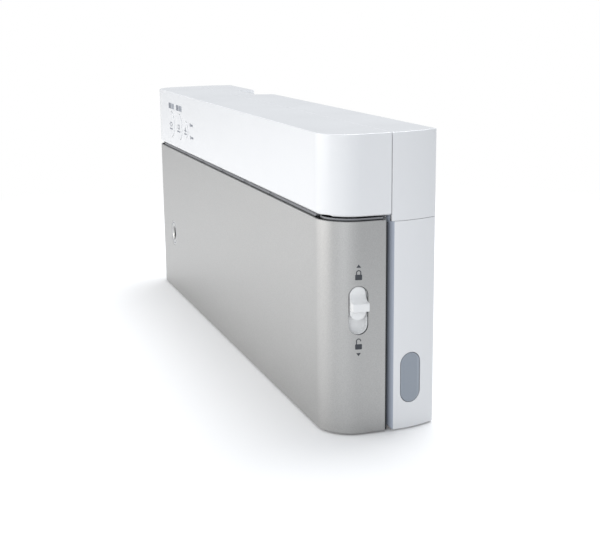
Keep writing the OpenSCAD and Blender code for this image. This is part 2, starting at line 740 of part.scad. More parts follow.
module latch_hooks() in_place() color("darkgray") for (side = [-1, 1]) mirror([side < 0 ? 1 : 0, 0, 0]) {
  block(hook_x, lid_t - plate_t / 2 + seat, hook_y, hook_z, hook_w, hook_h);
  translate([0, 0, hook_z - hook_h / 2]) linear_extrude(hook_h) polygon([
    [hook_x - hook_w / 2 + eps, hook_y - barb_t], [hook_x - hook_w / 2 - barb, hook_y - barb_t],
    [hook_x - hook_w / 2, hook_y], [hook_x - hook_w / 2 + eps, hook_y]]);
}

module port_collar() in_place() color("gray") translate([port_x - half_l, 0, port_z]) rotate([-90, 0, 0])
  difference() {
    union() {
      cylinder(d = port_d, h = port_flange_t);
      cylinder(r = collar_r, h = collar_l);
    }
    translate([0, 0, -over]) cylinder(r = port_bore_r, h = collar_l + 2 * over);
  }

module port_tube() in_place() color("black") translate([port_x - half_l, collar_l + seat, port_z])
  rotate([-90, 0, 0]) difference() {
    cylinder(r = port_tube_r, h = lid_t - plate_t - collar_l - 2 * seat);
    translate([0, 0, -over]) cylinder(r = port_bore_r, h = lid_t);
  }

// ---- store slider ----

module slider_bed() in_place() color("gainsboro") difference() {
  union() {
    end_pill(bed_x - bed_t, bed_x, slot_y, slot_z,
      slot_w + 2 * (bed_rim - seat), slot_l + 2 * (bed_rim - seat));
    // rim that stands in the wall of the lid frame
    difference() {
      intersection() {
        end_pill(bed_x - eps, half_l, slot_y, slot_z,
          slot_w + 2 * (bed_rim - seat), slot_l + 2 * (bed_rim - seat));
        column(0, lid_h, skin_t + 2 * seat);
      }
      end_pill(bed_x - over, half_l + over, slot_y, slot_z, slot_w, slot_l);
    }
  }
  translate([bed_x - 2 * bed_t, slot_y - neck_w / 2 - clear, slider_z - neck_l / 2 - slider_travel - clear])
    cube([4 * bed_t, neck_w + 2 * clear, neck_l + slider_travel + 2 * clear]);
}

module slider_knob() in_place() color("white") difference() {
  union() {
    intersection() {
      end_pill(bed_x + clear, half_l + ridge_proud, slot_y, slider_z, slider_w, slider_l);
      union() {
        column(0, lid_h, knob_sunk);
        // thumb ridge with a hollow ramp above it
        translate([0, slot_y - slider_w / 2, ridge_z - ridge_h / 2])
          cube([half_l + ridge_proud, slider_w, ridge_h]);
      }
    }
    // neck through the bed
    translate([lock_x + lock_t, slot_y - neck_w / 2, slider_z - neck_l / 2])
      cube([bed_x + 2 * clear - lock_x - lock_t, neck_w, neck_l]);
  }
  translate([half_l + slider_w / 2 - ramp_x, slot_y - slider_w,
    ridge_z + (ridge_h + slider_w) / 2 - ramp_z])
    rotate([-90, 0, 0]) cylinder(r = slider_w / 2, h = 2 * slider_w);
}

module lock_plate() in_place() color("darkgray") {
  translate([lock_x, slot_y - lock_front, slider_z - tongue_l / 2])
    cube([lock_t, tongue_y - slot_y + lock_front, tongue_l]);
}

// ---- release buttons and catches ----

module release_cap() intersection() {
  end_pill(half_l - cap_t, half_l + 2 * release_proud, release_y, release_z, release_w, release_l);
  column(0, seam_z, -release_proud);
}

module release_button(side) in_place() color("slategray") mirror([side < 0 ? 1 : 0, 0, 0]) release_cap();

module catch(side) in_place() color("gray") mirror([side < 0 ? 1 : 0, 0, 0]) {
  translate([tooth_x, catch_y, release_z - stem_w / 2])
    cube([half_l - cap_t - seat - tooth_x, catch_t, stem_w]);
  translate([tooth_x, catch_y - barb_t - catch_t, release_z - stem_w / 2])
    cube([catch_t, barb_t + catch_t + eps, stem_w]);
}

// Spring wound close, from its seat to the back of the catch
module catch_spring(side) in_place() color("lightgray") mirror([side < 0 ? 1 : 0, 0, 0])
  for (i = [0 : spring_turns - 1])
    translate([spring_seat_x + seat + spring_pitch * (i + 0.5), catch_y + catch_t / 2, release_z])
      rotate([0, 90, 0]) rotate_extrude()
        translate([spring_r - spring_wire_r, 0]) circle(spring_wire_r, $fn = 24);

// ---- control panel ----

module panel_button(x, d) in_place() color("white") {
  peg(x - half_l, -button_proud, wall + clear + flange_t, button_z, d / 2);
  peg(x - half_l, wall + clear, wall + clear + flange_t, button_z, d / 2 + 3 * clear);
  peg(x - half_l, wall, board_y - switch_t - button_travel - clear, button_z, stem_r);
}

module status_lamps() in_place() color("lightgreen") for (s = [-1, 1])
  peg(lamp_x - half_l, lamp_sunk, board_y - seat, button_z + s * lamp_gap / 2, lamp_d / 2);

module control_board() in_place() color("darkgreen")
  block(board_x, board_y, board_y + board_t, button_z, board_w, board_h);

module panel_switches() in_place() color("black")
  for (x = [button_x, button_x + button_pitch, small_x])
    block(x - half_l, board_y - switch_t, board_y - seat, button_z, switch_w, switch_w);

// ---- power, pump and hose ----

module power_board() in_place() color("darkgreen") {
  translate([-power_w / 2, board_low_y, power_z]) cube([power_w, power_d, board_t]);
  for (sx = [-1, 1], sy = [-1, 1])
    translate([sx * (power_w / 2 - board_post_in),
      board_low_y + power_d / 2 + sy * (power_d / 2 - board_post_in), floor_z + seat])
      cylinder(r = board_post_r, h = power_z - floor_z);
  // relay and capacitor
  translate([-power_w / 4 - relay_w / 2, board_low_y + (power_d - relay_w) / 2, power_z + board_t - eps])
    cube([relay_w, relay_w, relay_h]);
  translate([power_w / 4, board_low_y + power_d / 2, power_z + board_t - eps])
    cylinder(r = capacitor_r, h = capacitor_h);
}

// The two windows of the core, which the coil passes through
module core_windows(near, far, gap = 0) for (s = [-1, 1])
  block(coil_x + s * core_w / 4, near, far, floor_z + core_h / 2, core_w / 6 - 2 * gap,
    core_h / 2 - 2 * gap);

module transformer() in_place() color("dimgray") difference() {
  translate([coil_x - core_w / 2, core_y, floor_z + seat]) cube([core_w, core_t, core_h]);
  core_windows(core_y - over, body_t);
}

module transformer_coil() in_place() color("peru") {
  core_windows(core_y - coil_out, core_y + core_t + 1, seat);
  block(coil_x, core_y - coil_out, core_y - 2 * seat, floor_z + core_h / 2, 2 * core_w / 3,
    core_h / 2 - 2 * seat);
}

module motor() in_place() color("silver") difference() {
  union() {
    rod(motor_x, motor_x + motor_l, motor_y, motor_z, motor_r);
    rod(motor_x - motor_boss_l, motor_x + eps, motor_y, motor_z, motor_boss_r);
  }
  // bearing that the shaft of the eccentric runs in
  rod(motor_x + motor_l - bearing_l - clear, motor_x + motor_l + over, motor_y, motor_z,
    shaft_r + running);
}

module pump_head() in_place() color("black") difference() {
  translate([motor_x + motor_l + seat, motor_y - head_w / 2, motor_z - motor_r])
    cube([head_l, head_w, 2 * motor_r]);
  // chamber of the eccentric
  rod(motor_x + motor_l - over, motor_x + motor_l + head_l - head_wall, motor_y, motor_z,
    eccentric_r + eccentric_off + over);
  peg(hose_x, valve_y - valve_sunk - over, valve_y + over, motor_z, nozzle_r + snug);
}

module pump_eccentric() in_place() color("lightgray") {
  rod(motor_x + motor_l - bearing_l, eccentric_x + eccentric_t + shaft_end, motor_y, motor_z, shaft_r);
  rod(eccentric_x, eccentric_x + eccentric_t, motor_y, motor_z + eccentric_off,
    eccentric_r - eccentric_off);
}

module pump_cradle() in_place() color("dimgray") difference() {
  translate([motor_x + cradle_in, motor_y - motor_r, floor_z + seat])
    cube([motor_l + head_l - 2 * cradle_in, 2 * motor_r, motor_z - floor_z - cradle_in]);
  rod(motor_x - over, motor_x + motor_l + seat, motor_y, motor_z, motor_r + snug);
  translate([motor_x + motor_l, 0, motor_z - motor_r - seat]) cube([2 * head_l, body_t, body_h]);
}

module check_valve() in_place() color("gainsboro") {
  peg(hose_x, valve_y - valve_sunk, valve_y + valve_l, motor_z, nozzle_r);
  peg(hose_x, valve_y + seat, valve_y + valve_l, motor_z, valve_r);
}

module vacuum_hose() in_place() color("lightgray") difference() {
  sweep(hose_points, hose_r, 10, [1, 0, 0]);
  peg(hose_x, deck_y, hose_low_y + nozzle_l, nozzle_z, nozzle_r + snug);
}

module cord_bush() in_place() color("black") translate([bush_x, 0, bush_z])
  rotate([-90, 0, 0]) difference() {
    union() {
      translate([0, 0, body_t - wall - bush_lip]) cylinder(r = bush_r, h = wall + 2 * bush_lip);
      // lips behind and in front of the wall
      translate([0, 0, body_t + seat]) cylinder(r = bush_r + bush_lip, h = bush_lip - seat);
      translate([0, 0, body_t - wall - bush_lip]) cylinder(r = bush_r + bush_lip, h = bush_lip - seat);
    }
    translate([0, 0, body_t - 3 * wall]) cylinder(r = bush_bore_r, h = 6 * wall);
  }

// ---- feet, pads and screws ----

module foot_pockets(z) for (side = [-1, 1])
  peg(side * foot_x, body_t - foot_sink, body_t + over, z, foot_d / 2 + snug);

module back_feet() in_place() color("dimgray") for (side = [-1, 1], z = [foot_low_z, foot_high_z])
  peg(side * foot_x, body_t - foot_sink + seat, body_t + foot_h, z, foot_d / 2);

module pad_pockets(xs, y) for (x = xs)
  block(x, y - pad_w / 2, y + pad_w / 2, 0, pad_l, 2 * (pad_sink + seat));

module pad_row(xs, y) for (x = xs)
  translate([x - pad_l / 2, y - pad_w / 2, -pad_h]) cube([pad_l, pad_w, pad_h + pad_sink]);

module base_pads() in_place() color("dimgray") pad_row(pad_xs, base_pad_y);

module lid_pads() in_place() color("dimgray") pad_row(lid_pad_xs, lid_pad_y);

module case_screws() in_place() color("gray") for (x = screw_xs) {
  peg(x, deck_y + deck_t + screw_start, body_t - screw_head_t, screw_low_z, screw_r);
  peg(x, body_t - screw_head_t, body_t - head_sunk, screw_low_z, screw_head_r);
  peg(x, seam_y - screw_tip + wall + screw_start, body_t - screw_head_t, screw_high_z, screw_r);
  peg(x, body_t - screw_head_t, body_t - head_sunk, screw_high_z, screw_head_r);
}

base_housing();
deck();
vacuum_channel();
control_cover();
rear_cover();
lid_skin();
lid_frame();
hinge_rod();
upper_gasket();
press_strip();
lower_gasket();
drip_tray();
seal_bar();
heating_ribbon();
release_tape();
heater_terminals();
heater_leads();
latch_hooks();
port_collar();
port_tube();
slider_bed();
slider_knob();
lock_plate();
release_button(1);  // release_button_right
release_button(-1);  // release_button_left
catch(1);  // catch_right
catch(-1);  // catch_left
catch_spring(1);  // catch_spring_right
catch_spring(-1);  // catch_spring_left
panel_button(button_x, big_d);  // vacuum_button
panel_button(button_x + button_pitch, big_d);  // seal_button
panel_button(small_x, small_d);  // food_button
status_lamps();
control_board();
panel_switches();
power_board();
transformer();
transformer_coil();
motor();
pump_head();
pump_cradle();
pump_eccentric();
check_valve();
vacuum_hose();
cord_bush();
back_feet();
base_pads();
lid_pads();
case_screws();
lid_screws();
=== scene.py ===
"""Looks of a slim vacuum bag sealer that stands on its long edge: shells, lid, controls and stage."""

import math

import bmesh
import bpy
from bpy.props import FloatProperty, FloatVectorProperty, PointerProperty
from mathutils import Matrix, Vector


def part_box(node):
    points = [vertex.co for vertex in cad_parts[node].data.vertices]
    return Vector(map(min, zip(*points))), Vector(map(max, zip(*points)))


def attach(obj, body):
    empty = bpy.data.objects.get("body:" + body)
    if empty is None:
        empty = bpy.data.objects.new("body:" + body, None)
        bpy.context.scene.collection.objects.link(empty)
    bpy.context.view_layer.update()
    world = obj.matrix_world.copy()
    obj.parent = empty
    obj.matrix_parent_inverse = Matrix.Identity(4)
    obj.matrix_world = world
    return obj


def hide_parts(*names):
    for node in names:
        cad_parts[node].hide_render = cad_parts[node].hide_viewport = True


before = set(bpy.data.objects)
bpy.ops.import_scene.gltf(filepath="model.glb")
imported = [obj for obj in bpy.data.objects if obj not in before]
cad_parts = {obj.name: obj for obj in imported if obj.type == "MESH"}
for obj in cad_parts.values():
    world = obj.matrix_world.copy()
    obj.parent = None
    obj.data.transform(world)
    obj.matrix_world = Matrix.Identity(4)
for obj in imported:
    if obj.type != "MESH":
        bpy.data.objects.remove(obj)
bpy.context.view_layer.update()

bl_info = {
    "name": "Vacuum Sealer",
    "version": (1, 0, 0),
    "blender": (4, 5, 0),
    "location": "3D View > Sidebar > Sealer",
    "description": "Builds a slim vacuum bag sealer and its studio stage",
    "category": "Add Mesh",
}

# The body's own axes: x = 0 in the middle of the length, y = 0 on the lid face, z = 0 on the lower edge.
LID_LOW, LID_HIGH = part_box("lid_skin")
ORIGIN = Vector(((LID_LOW.x + LID_HIGH.x) / 2, LID_LOW.y, LID_LOW.z))
HALF_L = (LID_HIGH.x - LID_LOW.x) / 2
LID_T = LID_HIGH.y - LID_LOW.y
LID_H = LID_HIGH.z - LID_LOW.z
EPS = 1e-5
OVER = 0.002  # how far a cutter reaches past what it cuts
FIT = 0.00002  # clearance around a part that is set in a hole
SCREW_R = 0.0028
SCREW_SINK = 0.00165
FOOT_R = 0.006
FOOT_SINK = 0.001
BUSH_R = 0.005
BUSH_SINK = 0.006
PAD_L = 0.018
PAD_CORNER = 0.0006
PAD_SINK = 0.00065
PAD_PITCH = 0.1
PANEL_KEYS = {"vacuum_button": "vacuum_key", "seal_button": "seal_key", "food_button": "food_key"}


def node_box(node):
    """Lowest and highest corner of a node, in the body's own axes."""
    low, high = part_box(node)
    return low - ORIGIN, high - ORIGIN


def centre_of(node):
    """Middle of a node's box."""
    low, high = node_box(node)
    return [(a + b) / 2 for a, b in zip(low, high)]


# ---------------------------------------------------------------- settings


def number(name, default, description, **kind):
    return FloatProperty(name=name, description=description, default=default, **kind)


def length(name, default, description):
    return number(name, default, description, unit="LENGTH", precision=5)


def power(name, default, description):
    return number(name, default, description, unit="POWER")


def angle(name, degrees, description):
    return number(name, math.radians(degrees), description, subtype="ANGLE")


def colour(name, default, description):
    return FloatVectorProperty(
        name=name, description=description, default=default, size=3, subtype="COLOR", min=0, max=1
    )


class SealerShellSizes(bpy.types.PropertyGroup):
    corner_r: length("Front corner radius", 0.020, "Radius of the two front corners in plan")
    straight_t: length("Straight end depth", 0.0385, "Depth at which the ends start to curve inward")
    end_r: length("End radius", 0.057, "Radius of the inward curve of the ends")
    wall: length("Wall", 0.0022, "Wall of the white shells")
    groove: length("Groove", 0.0023, "Height of the groove above the lid")
    top_rise: length("Top rise", 0.0009, "Rise of the top face from front to back")
    rim_bevel: length("Rim bevel", 0.0034, "Bevel around the rim of the base")
    # The dark lip of the lid is a strip of painted shade.
    rim_back: length("Rim setback", 0.0004, "Clearance of the rim behind the dark lip of the lid")
    outer_edge: length("Outer edge radius", 0.0006, "Rounding of the outer edges of the white shells")
    seam_edge: length("Seam edge radius", 0.00028, "Rounding along the seams")
    lip_edge: length("Lip radius", 0.0020, "Rounding of the front lower edge of the control cover")
    scoop_l: length("Scoop length", 0.048, "Length of the scoop in the back top edge")
    scoop_w: length("Scoop width", 0.0135, "Width of the scoop")
    scoop_h: length("Scoop depth", 0.0055, "Depth of the scoop at its upright wall")
    scoop_at: length("Scoop place", 0.078, "Distance of the scoop's upright wall from the left end")


class SealerLidSizes(bpy.types.PropertyGroup):
    skin: length("Skin", 0.0012, "Thickness of the metal skin")
    fold_edge: length("Fold edge", 0.00022, "Rounding of the folded edges of the skin")
    bed_rim: length("Bed rim", 0.00195, "How far the slider bed reaches past its opening")
    slider_play: length("Slider play", 0.00035, "Gap on each side of the slider")
    neck_w: length("Neck width", 0.0032, "Width of the neck that joins the slider to its plate")
    neck_h: length("Neck height", 0.0034, "Height of the neck")
    slide: length("Slide", 0.007, "Travel of the slider")
    slider_edge: length("Slider edge radius", 0.00045, "Rounding of the slider knob")
    ridge_low: length("Ridge foot", 0.00555, "Height of the thumb ridge above the slider's lower end")
    ridge_h: length("Ridge height", 0.0046, "Height of the thumb ridge")
    ramp_h: length("Ramp height", 0.0042, "Height of the hollow above the thumb ridge")
    ramp_t: length("Ramp depth", 0.0008, "Depth of the hollow below the face of the slider")
    knob_sunk: length("Slider depth", 0.0010, "How far the slider's face lies below the end of the lid")
    closing_h: length("Closing wall height", 0.0013, "Rise of the groove's closing wall above the lid")
    closing_inset: length("Closing wall inset", 0.0020, "Distance of that wall behind the outer face")
    # The dark lip is painted shade: a dark strip for the shade of the gap at the rim.
    shade_lip_reach: length("Lip reach", 0.00095, "How far the lid frame's dark lip stands out of the skin")
    port_bore: length("Port bore radius", 0.005, "Radius of the bore for the hose plug")
    port_lip: length("Port lip", 0.0011, "Width of the bevel around the port bore")


class SealerButtonSizes(bpy.types.PropertyGroup):
    flange: length("Flange", 0.00105, "How far a button's hidden flange reaches past its cap")
    gap: length("Button gap", 0.00016, "Gap around a button")
    edge: length("Button edge radius", 0.0004, "Rounding of a panel button")
    release_edge: length("Release edge radius", 0.0011, "Rounding of a release button")
    release_gap: length("Release gap", 0.00035, "Gap around a release button")
    mark_t: length("Mark thickness", 0.00003, "Thickness of a printed mark")


class SealerFinishes(bpy.types.PropertyGroup):
    white: colour("White plastic", (0.84, 0.846, 0.858), "Gloss plastic of the shells")
    slider_white: colour("Slider white", (0.90, 0.902, 0.90), "Gloss plastic of the slider and its bed")
    silver: colour("Silver skin", (0.56, 0.557, 0.548), "Satin metal of the lid")
    grey: colour("Button grey", (0.325, 0.36, 0.41), "Soft plastic of the release buttons")
    # Also the colour of the painted shade on the lid's dark lip and on the walls of the slider opening.
    dark: colour("Dark plastic", (0.022, 0.023, 0.026), "Plastic of the lid's lip and hidden parts")
    frame_grey: colour("Frame grey", (0.34, 0.345, 0.36), "Plastic of the lid frame and hinge knuckles")
    deck: colour("Deck grey", (0.47, 0.49, 0.52), "Plastic of the deck and tray")
    rubber: colour("Rubber", (0.03, 0.03, 0.032), "Rubber of the feet, pads and tubes")
    print_dark: colour("Dark print", (0.05, 0.055, 0.065), "Ink of the marks on the metal")
    print_bar: colour("Bar print", (0.20, 0.215, 0.25), "Ink of the bars over the buttons")
    print_pale: colour("Pale print", (0.31, 0.33, 0.37), "Ink of the paler bars on the panel")


class SealerStageSettings(bpy.types.PropertyGroup):
    camera_at: FloatVectorProperty(
        name="Camera place", description="Camera position", default=(0.77765, -0.23877, 0.22877), size=3,
        subtype="TRANSLATION", unit="LENGTH", precision=5,
    )
    yaw: angle("Yaw", 71.40, "Turn of the camera about Z")
    pitch: angle("Pitch", 13.02, "Downward tilt")
    roll: angle("Roll", -0.59, "Roll of the camera")
    lens: number("Lens", 69.82, "Focal length on a 36 mm sensor, in mm")
    key_power: power("Key light", 12.9, "Power of the front softbox")
    end_power: power("End light", 4.2, "Power of the softbox at the near end")
    top_power: power("Top light", 15.8, "Power of the overhead softbox")
    ambient: number("Ambient", 0.62, "Strength of the surrounding light")
    glossy_held: number("Held reflections", 0.42, "Share of the surroundings that reflections miss")
    floor_lift: number("Floor lift", 0.10, "Light added to the floor as the camera sees it")
    fade_from: length("Fade start", 0.38, "Distance at which the floor starts to turn plain white")
    fade_to: length("Fade end", 0.75, "Distance at which the floor is plain white")


SETTINGS = {
    "sealer_shells": SealerShellSizes,
    "sealer_lid": SealerLidSizes,
    "sealer_buttons": SealerButtonSizes,
    "sealer_finishes": SealerFinishes,
    "sealer_stage": SealerStageSettings,
}


def settings(name):
    return getattr(bpy.context.scene, name)


# ---------------------------------------------------------------- mesh tools


def mesh_object(name, bm):
    bmesh.ops.recalc_face_normals(bm, faces=bm.faces[:])
    mesh = bpy.data.meshes.new(name)
    bm.to_mesh(mesh)
    bm.free()
    obj = bpy.data.objects.new(name, mesh)
    bpy.context.scene.collection.objects.link(obj)
    return obj


def discard(obj):
    mesh = obj.data
    bpy.data.objects.remove(obj)
    bpy.data.meshes.remove(mesh)


def bridge(bm, rings, around=False):
    """Faces from each ring of points to the next, and from the last to the first if it goes around."""
    layers = [[bm.verts.new(p) for p in ring] for ring in rings]
    following = layers[1:] + layers[:1] if around else layers[1:]
    for here, there in zip(layers, following):
        for i in range(len(here)):
            j = (i + 1) % len(here)
            bm.faces.new((here[i], here[j], there[j], there[i]))
    return layers


def prism(name, rings):
    """Closed solid through rings of points, each ring with as many points as the last."""
    bm = bmesh.new()
    layers = bridge(bm, rings)
    bm.faces.new(layers[0][::-1])
    bm.faces.new(layers[-1])
    return mesh_object(name, bm)


def apply_modifiers(obj):
    bpy.context.view_layer.update()
    depsgraph = bpy.context.evaluated_depsgraph_get()
    made = bpy.data.meshes.new_from_object(obj.evaluated_get(depsgraph))
    obj.modifiers.clear()
    spent, obj.data = obj.data, made
    bpy.data.meshes.remove(spent)
    return made


def boolean(obj, operation, *others):
    """Applies each other solid to obj in turn and removes it."""
    for other in others:
        modifier = obj.modifiers.new(operation, "BOOLEAN")
        modifier.operation = operation
        modifier.solver = "EXACT"
        modifier.object = other
        made = apply_modifiers(obj)
        discard(other)
        if not made.polygons:
            raise RuntimeError(f"{obj.name}: the {operation.lower()} left nothing")
    return obj


def cut(obj, *others):
    return boolean(obj, "DIFFERENCE", *others)


def bevel(obj, width, segments=3, pick=None, limit=28.0):
    """Rounds the edges sharper than limit whose middle pick accepts, or all of them."""
    bm = bmesh.new()
    bm.from_mesh(obj.data)
    bmesh.ops.remove_doubles(bm, verts=bm.verts, dist=EPS)
    bmesh.ops.dissolve_degenerate(bm, edges=bm.edges, dist=EPS)
    chosen = []
    for edge in bm.edges:
        if len(edge.link_faces) != 2 or edge.calc_face_angle(0) < math.radians(limit):
            continue
        a, b = (v.co for v in edge.verts)
        if pick is None or pick((a + b) / 2):
            chosen.append(edge)
    bmesh.ops.bevel(
        bm, geom=chosen, offset=width, offset_type="OFFSET", segments=segments, profile=0.5,
        affect="EDGES", clamp_overlap=True, loop_slide=True,
    )
    bm.to_mesh(obj.data)
    bm.free()
    return obj


def quarter(steps):
    """Angles of a quarter turn."""
    return [math.pi / 2 * k / steps for k in range(steps + 1)]


def outline(near, far, inset=0.0, steps=22):
    """Plan of the body between two depths: round front corners, ends that curve in to the back."""
    s = settings("sealer_shells")
    r, middle = s.corner_r - inset, HALF_L - s.corner_r
    bow_r, bow_x = s.end_r - inset, HALF_L - s.end_r

    def width_at(y):
        if y < s.corner_r:
            return middle + math.sqrt(max(r * r - (s.corner_r - y) ** 2, 0))
        if y <= s.straight_t:
            return HALF_L - inset
        return bow_x + math.sqrt(bow_r * bow_r - (y - s.straight_t) ** 2)

    near = max(near, inset)
    depths = [s.corner_r - r * math.cos(a) for a in quarter(steps)]
    reach = math.asin((far - s.straight_t) / bow_r) if far > s.straight_t else 0
    depths += [s.straight_t + bow_r * math.sin(reach * i / steps) for i in range(steps)]
    depths = [near] + [y for y in depths if near + EPS < y < far - EPS] + [far]
    side = [(width_at(y), y) for y in depths]
    return side + [(-x, y) for x, y in reversed(side)]


def column(name, low, high, near, far, inset=0.0, rise=0.0):
    """Upright solid with the body's plan; rise tilts the top face up by that share of the depth."""
    plan = outline(near, far, inset)
    return prism(name, [[(x, y, low) for x, y in plan], [(x, y, high + rise * y) for x, y in plan]])


def pill(width, height, steps=14):
    """Outline of an upright pill."""
    r, rise = width / 2, (height - width) / 2
    turns = [math.pi * i / steps for i in range(steps + 1)]
    upper = [(r * math.cos(a), rise + r * math.sin(a)) for a in turns]
    return upper + [(-a, -b) for a, b in upper]


def disc(radius, steps=64):
    turns = [2 * math.pi * i / steps for i in range(steps)]
    return [(radius * math.cos(a), radius * math.sin(a)) for a in turns]


def rounded(width, height, radius, steps=6):
    """Outline of a rectangle with round corners."""
    points = []
    for turn, (sx, sy) in enumerate(((1, 1), (-1, 1), (-1, -1), (1, -1))):
        for i in range(steps + 1):
            a = math.pi / 2 * (turn + i / steps)
            x = sx * (width / 2 - radius) + radius * math.cos(a)
            points.append((x, sy * (height / 2 - radius) + radius * math.sin(a)))
    return points


def shifted(shape, x, z):
    return [(a + x, b + z) for a, b in shape]


def along_x(name, shape, low, high, y=0, z=0):
    """Solid along X from an outline in Y and Z."""
    return prism(name, [[(x, y + a, z + b) for a, b in shape] for x in (low, high)])


def along_y(name, shape, near, far, x=0, z=0):
    """Solid along Y from an outline in X and Z."""
    return prism(name, [[(x + a, y, z + b) for a, b in shape] for y in (near, far)])


def along_z(name, shape, low, high, x=0, y=0):
    """Solid along Z from an outline in X and Y."""
    return prism(name, [[(x + a, y + b, z) for a, b in shape] for z in (low, high)])


def lathe(name, profile, x, z, steps=64):
    """Closed ring or knob turned about an axis along Y from a closed profile of (radius, depth)."""
    turns = [2 * math.pi * i / steps for i in range(steps)]
    rings = [[(x + r * math.cos(a), y, z + r * math.sin(a)) for r, y in profile] for a in turns]
    bm = bmesh.new()
    bridge(bm, rings, around=True)
    bmesh.ops.remove_doubles(bm, verts=bm.verts, dist=EPS / 10)
    return mesh_object(name, bm)


def join(name, parts):
    """One object from several solids that keep apart."""
    bm = bmesh.new()
    for part in parts:
        bm.from_mesh(part.data)
        discard(part)
    return mesh_object(name, bm)


def plan_normal(x, y):
    """Outward direction of the body's plan at a point on it, or None elsewhere."""
    s = settings("sealer_shells")
    side, along = math.copysign(1, x), abs(x)
    if y < s.corner_r and along > HALF_L - s.corner_r:
        middle, r = (HALF_L - s.corner_r, s.corner_r), s.corner_r
    elif y > s.straight_t:
        middle, r = (HALF_L - s.end_r, s.straight_t), s.end_r
    elif abs(along - HALF_L) < 10 * EPS:
        return Vector((side, 0, 0))
    else:
        return None
    arm = Vector((along - middle[0], y - middle[1], 0))
    if abs(arm.length - r) > 10 * EPS:
        return None
    return Vector((side * arm.x, arm.y, 0)).normalized()


def follow_plan(obj):
    """Gives the upright outer faces the exact directions of the plan, so openings leave no streaks."""
    made = apply_modifiers(obj)
    normals = [corner.vector.copy() for corner in made.corner_normals]
    upright, alike = 0.02, 0.97
    for face in made.polygons:
        if abs(face.normal.z) > upright:
            continue
        for index in face.loop_indices:
            at = made.vertices[made.loops[index].vertex_index].co - ORIGIN
            exact = plan_normal(at.x, at.y)
            if exact and exact.dot(face.normal) > alike:
                normals[index] = exact
    made.normals_split_custom_set(normals)


def settle(obj, body, key, replaces=(), smooth=32.0, on_plan=False):
    """Moves a finished piece to its place, shades it, gives it a finish and ties it to its body."""
    obj.data.transform(Matrix.Translation(ORIGIN))
    obj.data.polygons.foreach_set("use_smooth", [True] * len(obj.data.polygons))
    obj.data.set_sharp_from_angle(angle=math.radians(smooth))
    modifier = obj.modifiers.new("Even shading", "WEIGHTED_NORMAL")
    modifier.keep_sharp = True
    modifier.weight = 90
    if on_plan:
        follow_plan(obj)
    obj.data.materials.clear()
    obj.data.materials.append(finish(key))
    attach(obj, body)
    if replaces:
        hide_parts(*replaces)
    return obj


# ---------------------------------------------------------------- shader tools and shared groups


def feed(tree, node, inputs):
    """Sets each named input to a value, or links it to the socket that is given for it."""
    for key, value in inputs.items():
        if isinstance(value, bpy.types.NodeSocket):
            tree.links.new(value, node.inputs[key])
        else:
            node.inputs[key].default_value = value


def add(tree, kind, inputs=None, **values):
    made = tree.nodes.new(kind if kind.startswith("NodeGroup") else "ShaderNode" + kind)
    for key, value in values.items():
        setattr(made, key, value)
    feed(tree, made, inputs or {})
    return made


def math_node(tree, operation, first, second):
    return add(tree, "Math", {0: first, 1: second}, operation=operation).outputs[0]


def object_place(tree):
    return add(tree, "TexCoord").outputs["Object"]


def scaled(tree, tint, gain):
    return add(tree, "VectorMath", {0: tint, "Scale": gain}, operation="SCALE").outputs[0]


def ramp(tree, value, low, high, ends=(0.0, 1.0)):
    """Colour that goes from low to high while the value goes from one end to the other."""
    made = add(tree, "ValToRGB", {"Fac": value})
    for element, at, tone in zip(made.color_ramp.elements, ends, (low, high)):
        element.position = at
        element.color = (*tone, 1)
    return made.outputs["Color"]


def add_bump(tree, shader, height, distance):
    bump = add(tree, "Bump", {"Strength": 0.6, "Distance": distance, "Height": height})
    feed(tree, shader, {"Normal": bump.outputs["Normal"]})


def open_group(group, inputs, outputs):
    """Gives a group its sockets, and returns what comes in and the node that takes what goes out."""
    for name, default in inputs.items():
        kind = {1: "Float", 3: "Vector", 4: "Color"}[len(default) if isinstance(default, tuple) else 1]
        made = group.interface.new_socket(name=name, in_out="INPUT", socket_type="NodeSocket" + kind)
        made.default_value = default
    for name, kind in outputs.items():
        group.interface.new_socket(name=name, in_out="OUTPUT", socket_type="NodeSocket" + kind)
    return add(group, "NodeGroupInput").outputs, add(group, "NodeGroupOutput")


def build_grain(group):
    """Fine grain of a moulded or blasted surface, with broad faint clouds over it."""
    given, result = open_group(group, {
        "Colour": (0.8, 0.8, 0.8, 1), "Roughness": 0.4, "Grain scale": 1500.0, "Grain contrast": 0.05,
        "Cloud contrast": 0.02, "Roughness spread": 0.08,
    }, {"Colour": "Color", "Roughness": "Float", "Height": "Float"})
    place = object_place(group)
    grain = add(group, "TexNoise", {"Vector": place, "Scale": given["Grain scale"], "Detail": 3.0})
    clouds = add(group, "TexNoise", {"Vector": place, "Scale": 14.0, "Detail": 4.0})
    fine, broad = (math_node(group, "SUBTRACT", noise.outputs["Fac"], 0.5) for noise in (grain, clouds))
    change = math_node(
        group, "ADD",
        math_node(group, "MULTIPLY", fine, given["Grain contrast"]),
        math_node(group, "MULTIPLY", broad, given["Cloud contrast"]),
    )
    gain = math_node(group, "ADD", math_node(group, "MULTIPLY", change, 2.0), 1.0)
    spread = math_node(group, "MULTIPLY", broad, given["Roughness spread"])
    feed(group, result, {
        "Colour": scaled(group, given["Colour"], gain),
        "Roughness": math_node(group, "ADD", given["Roughness"], spread),
        "Height": grain.outputs["Fac"],
    })


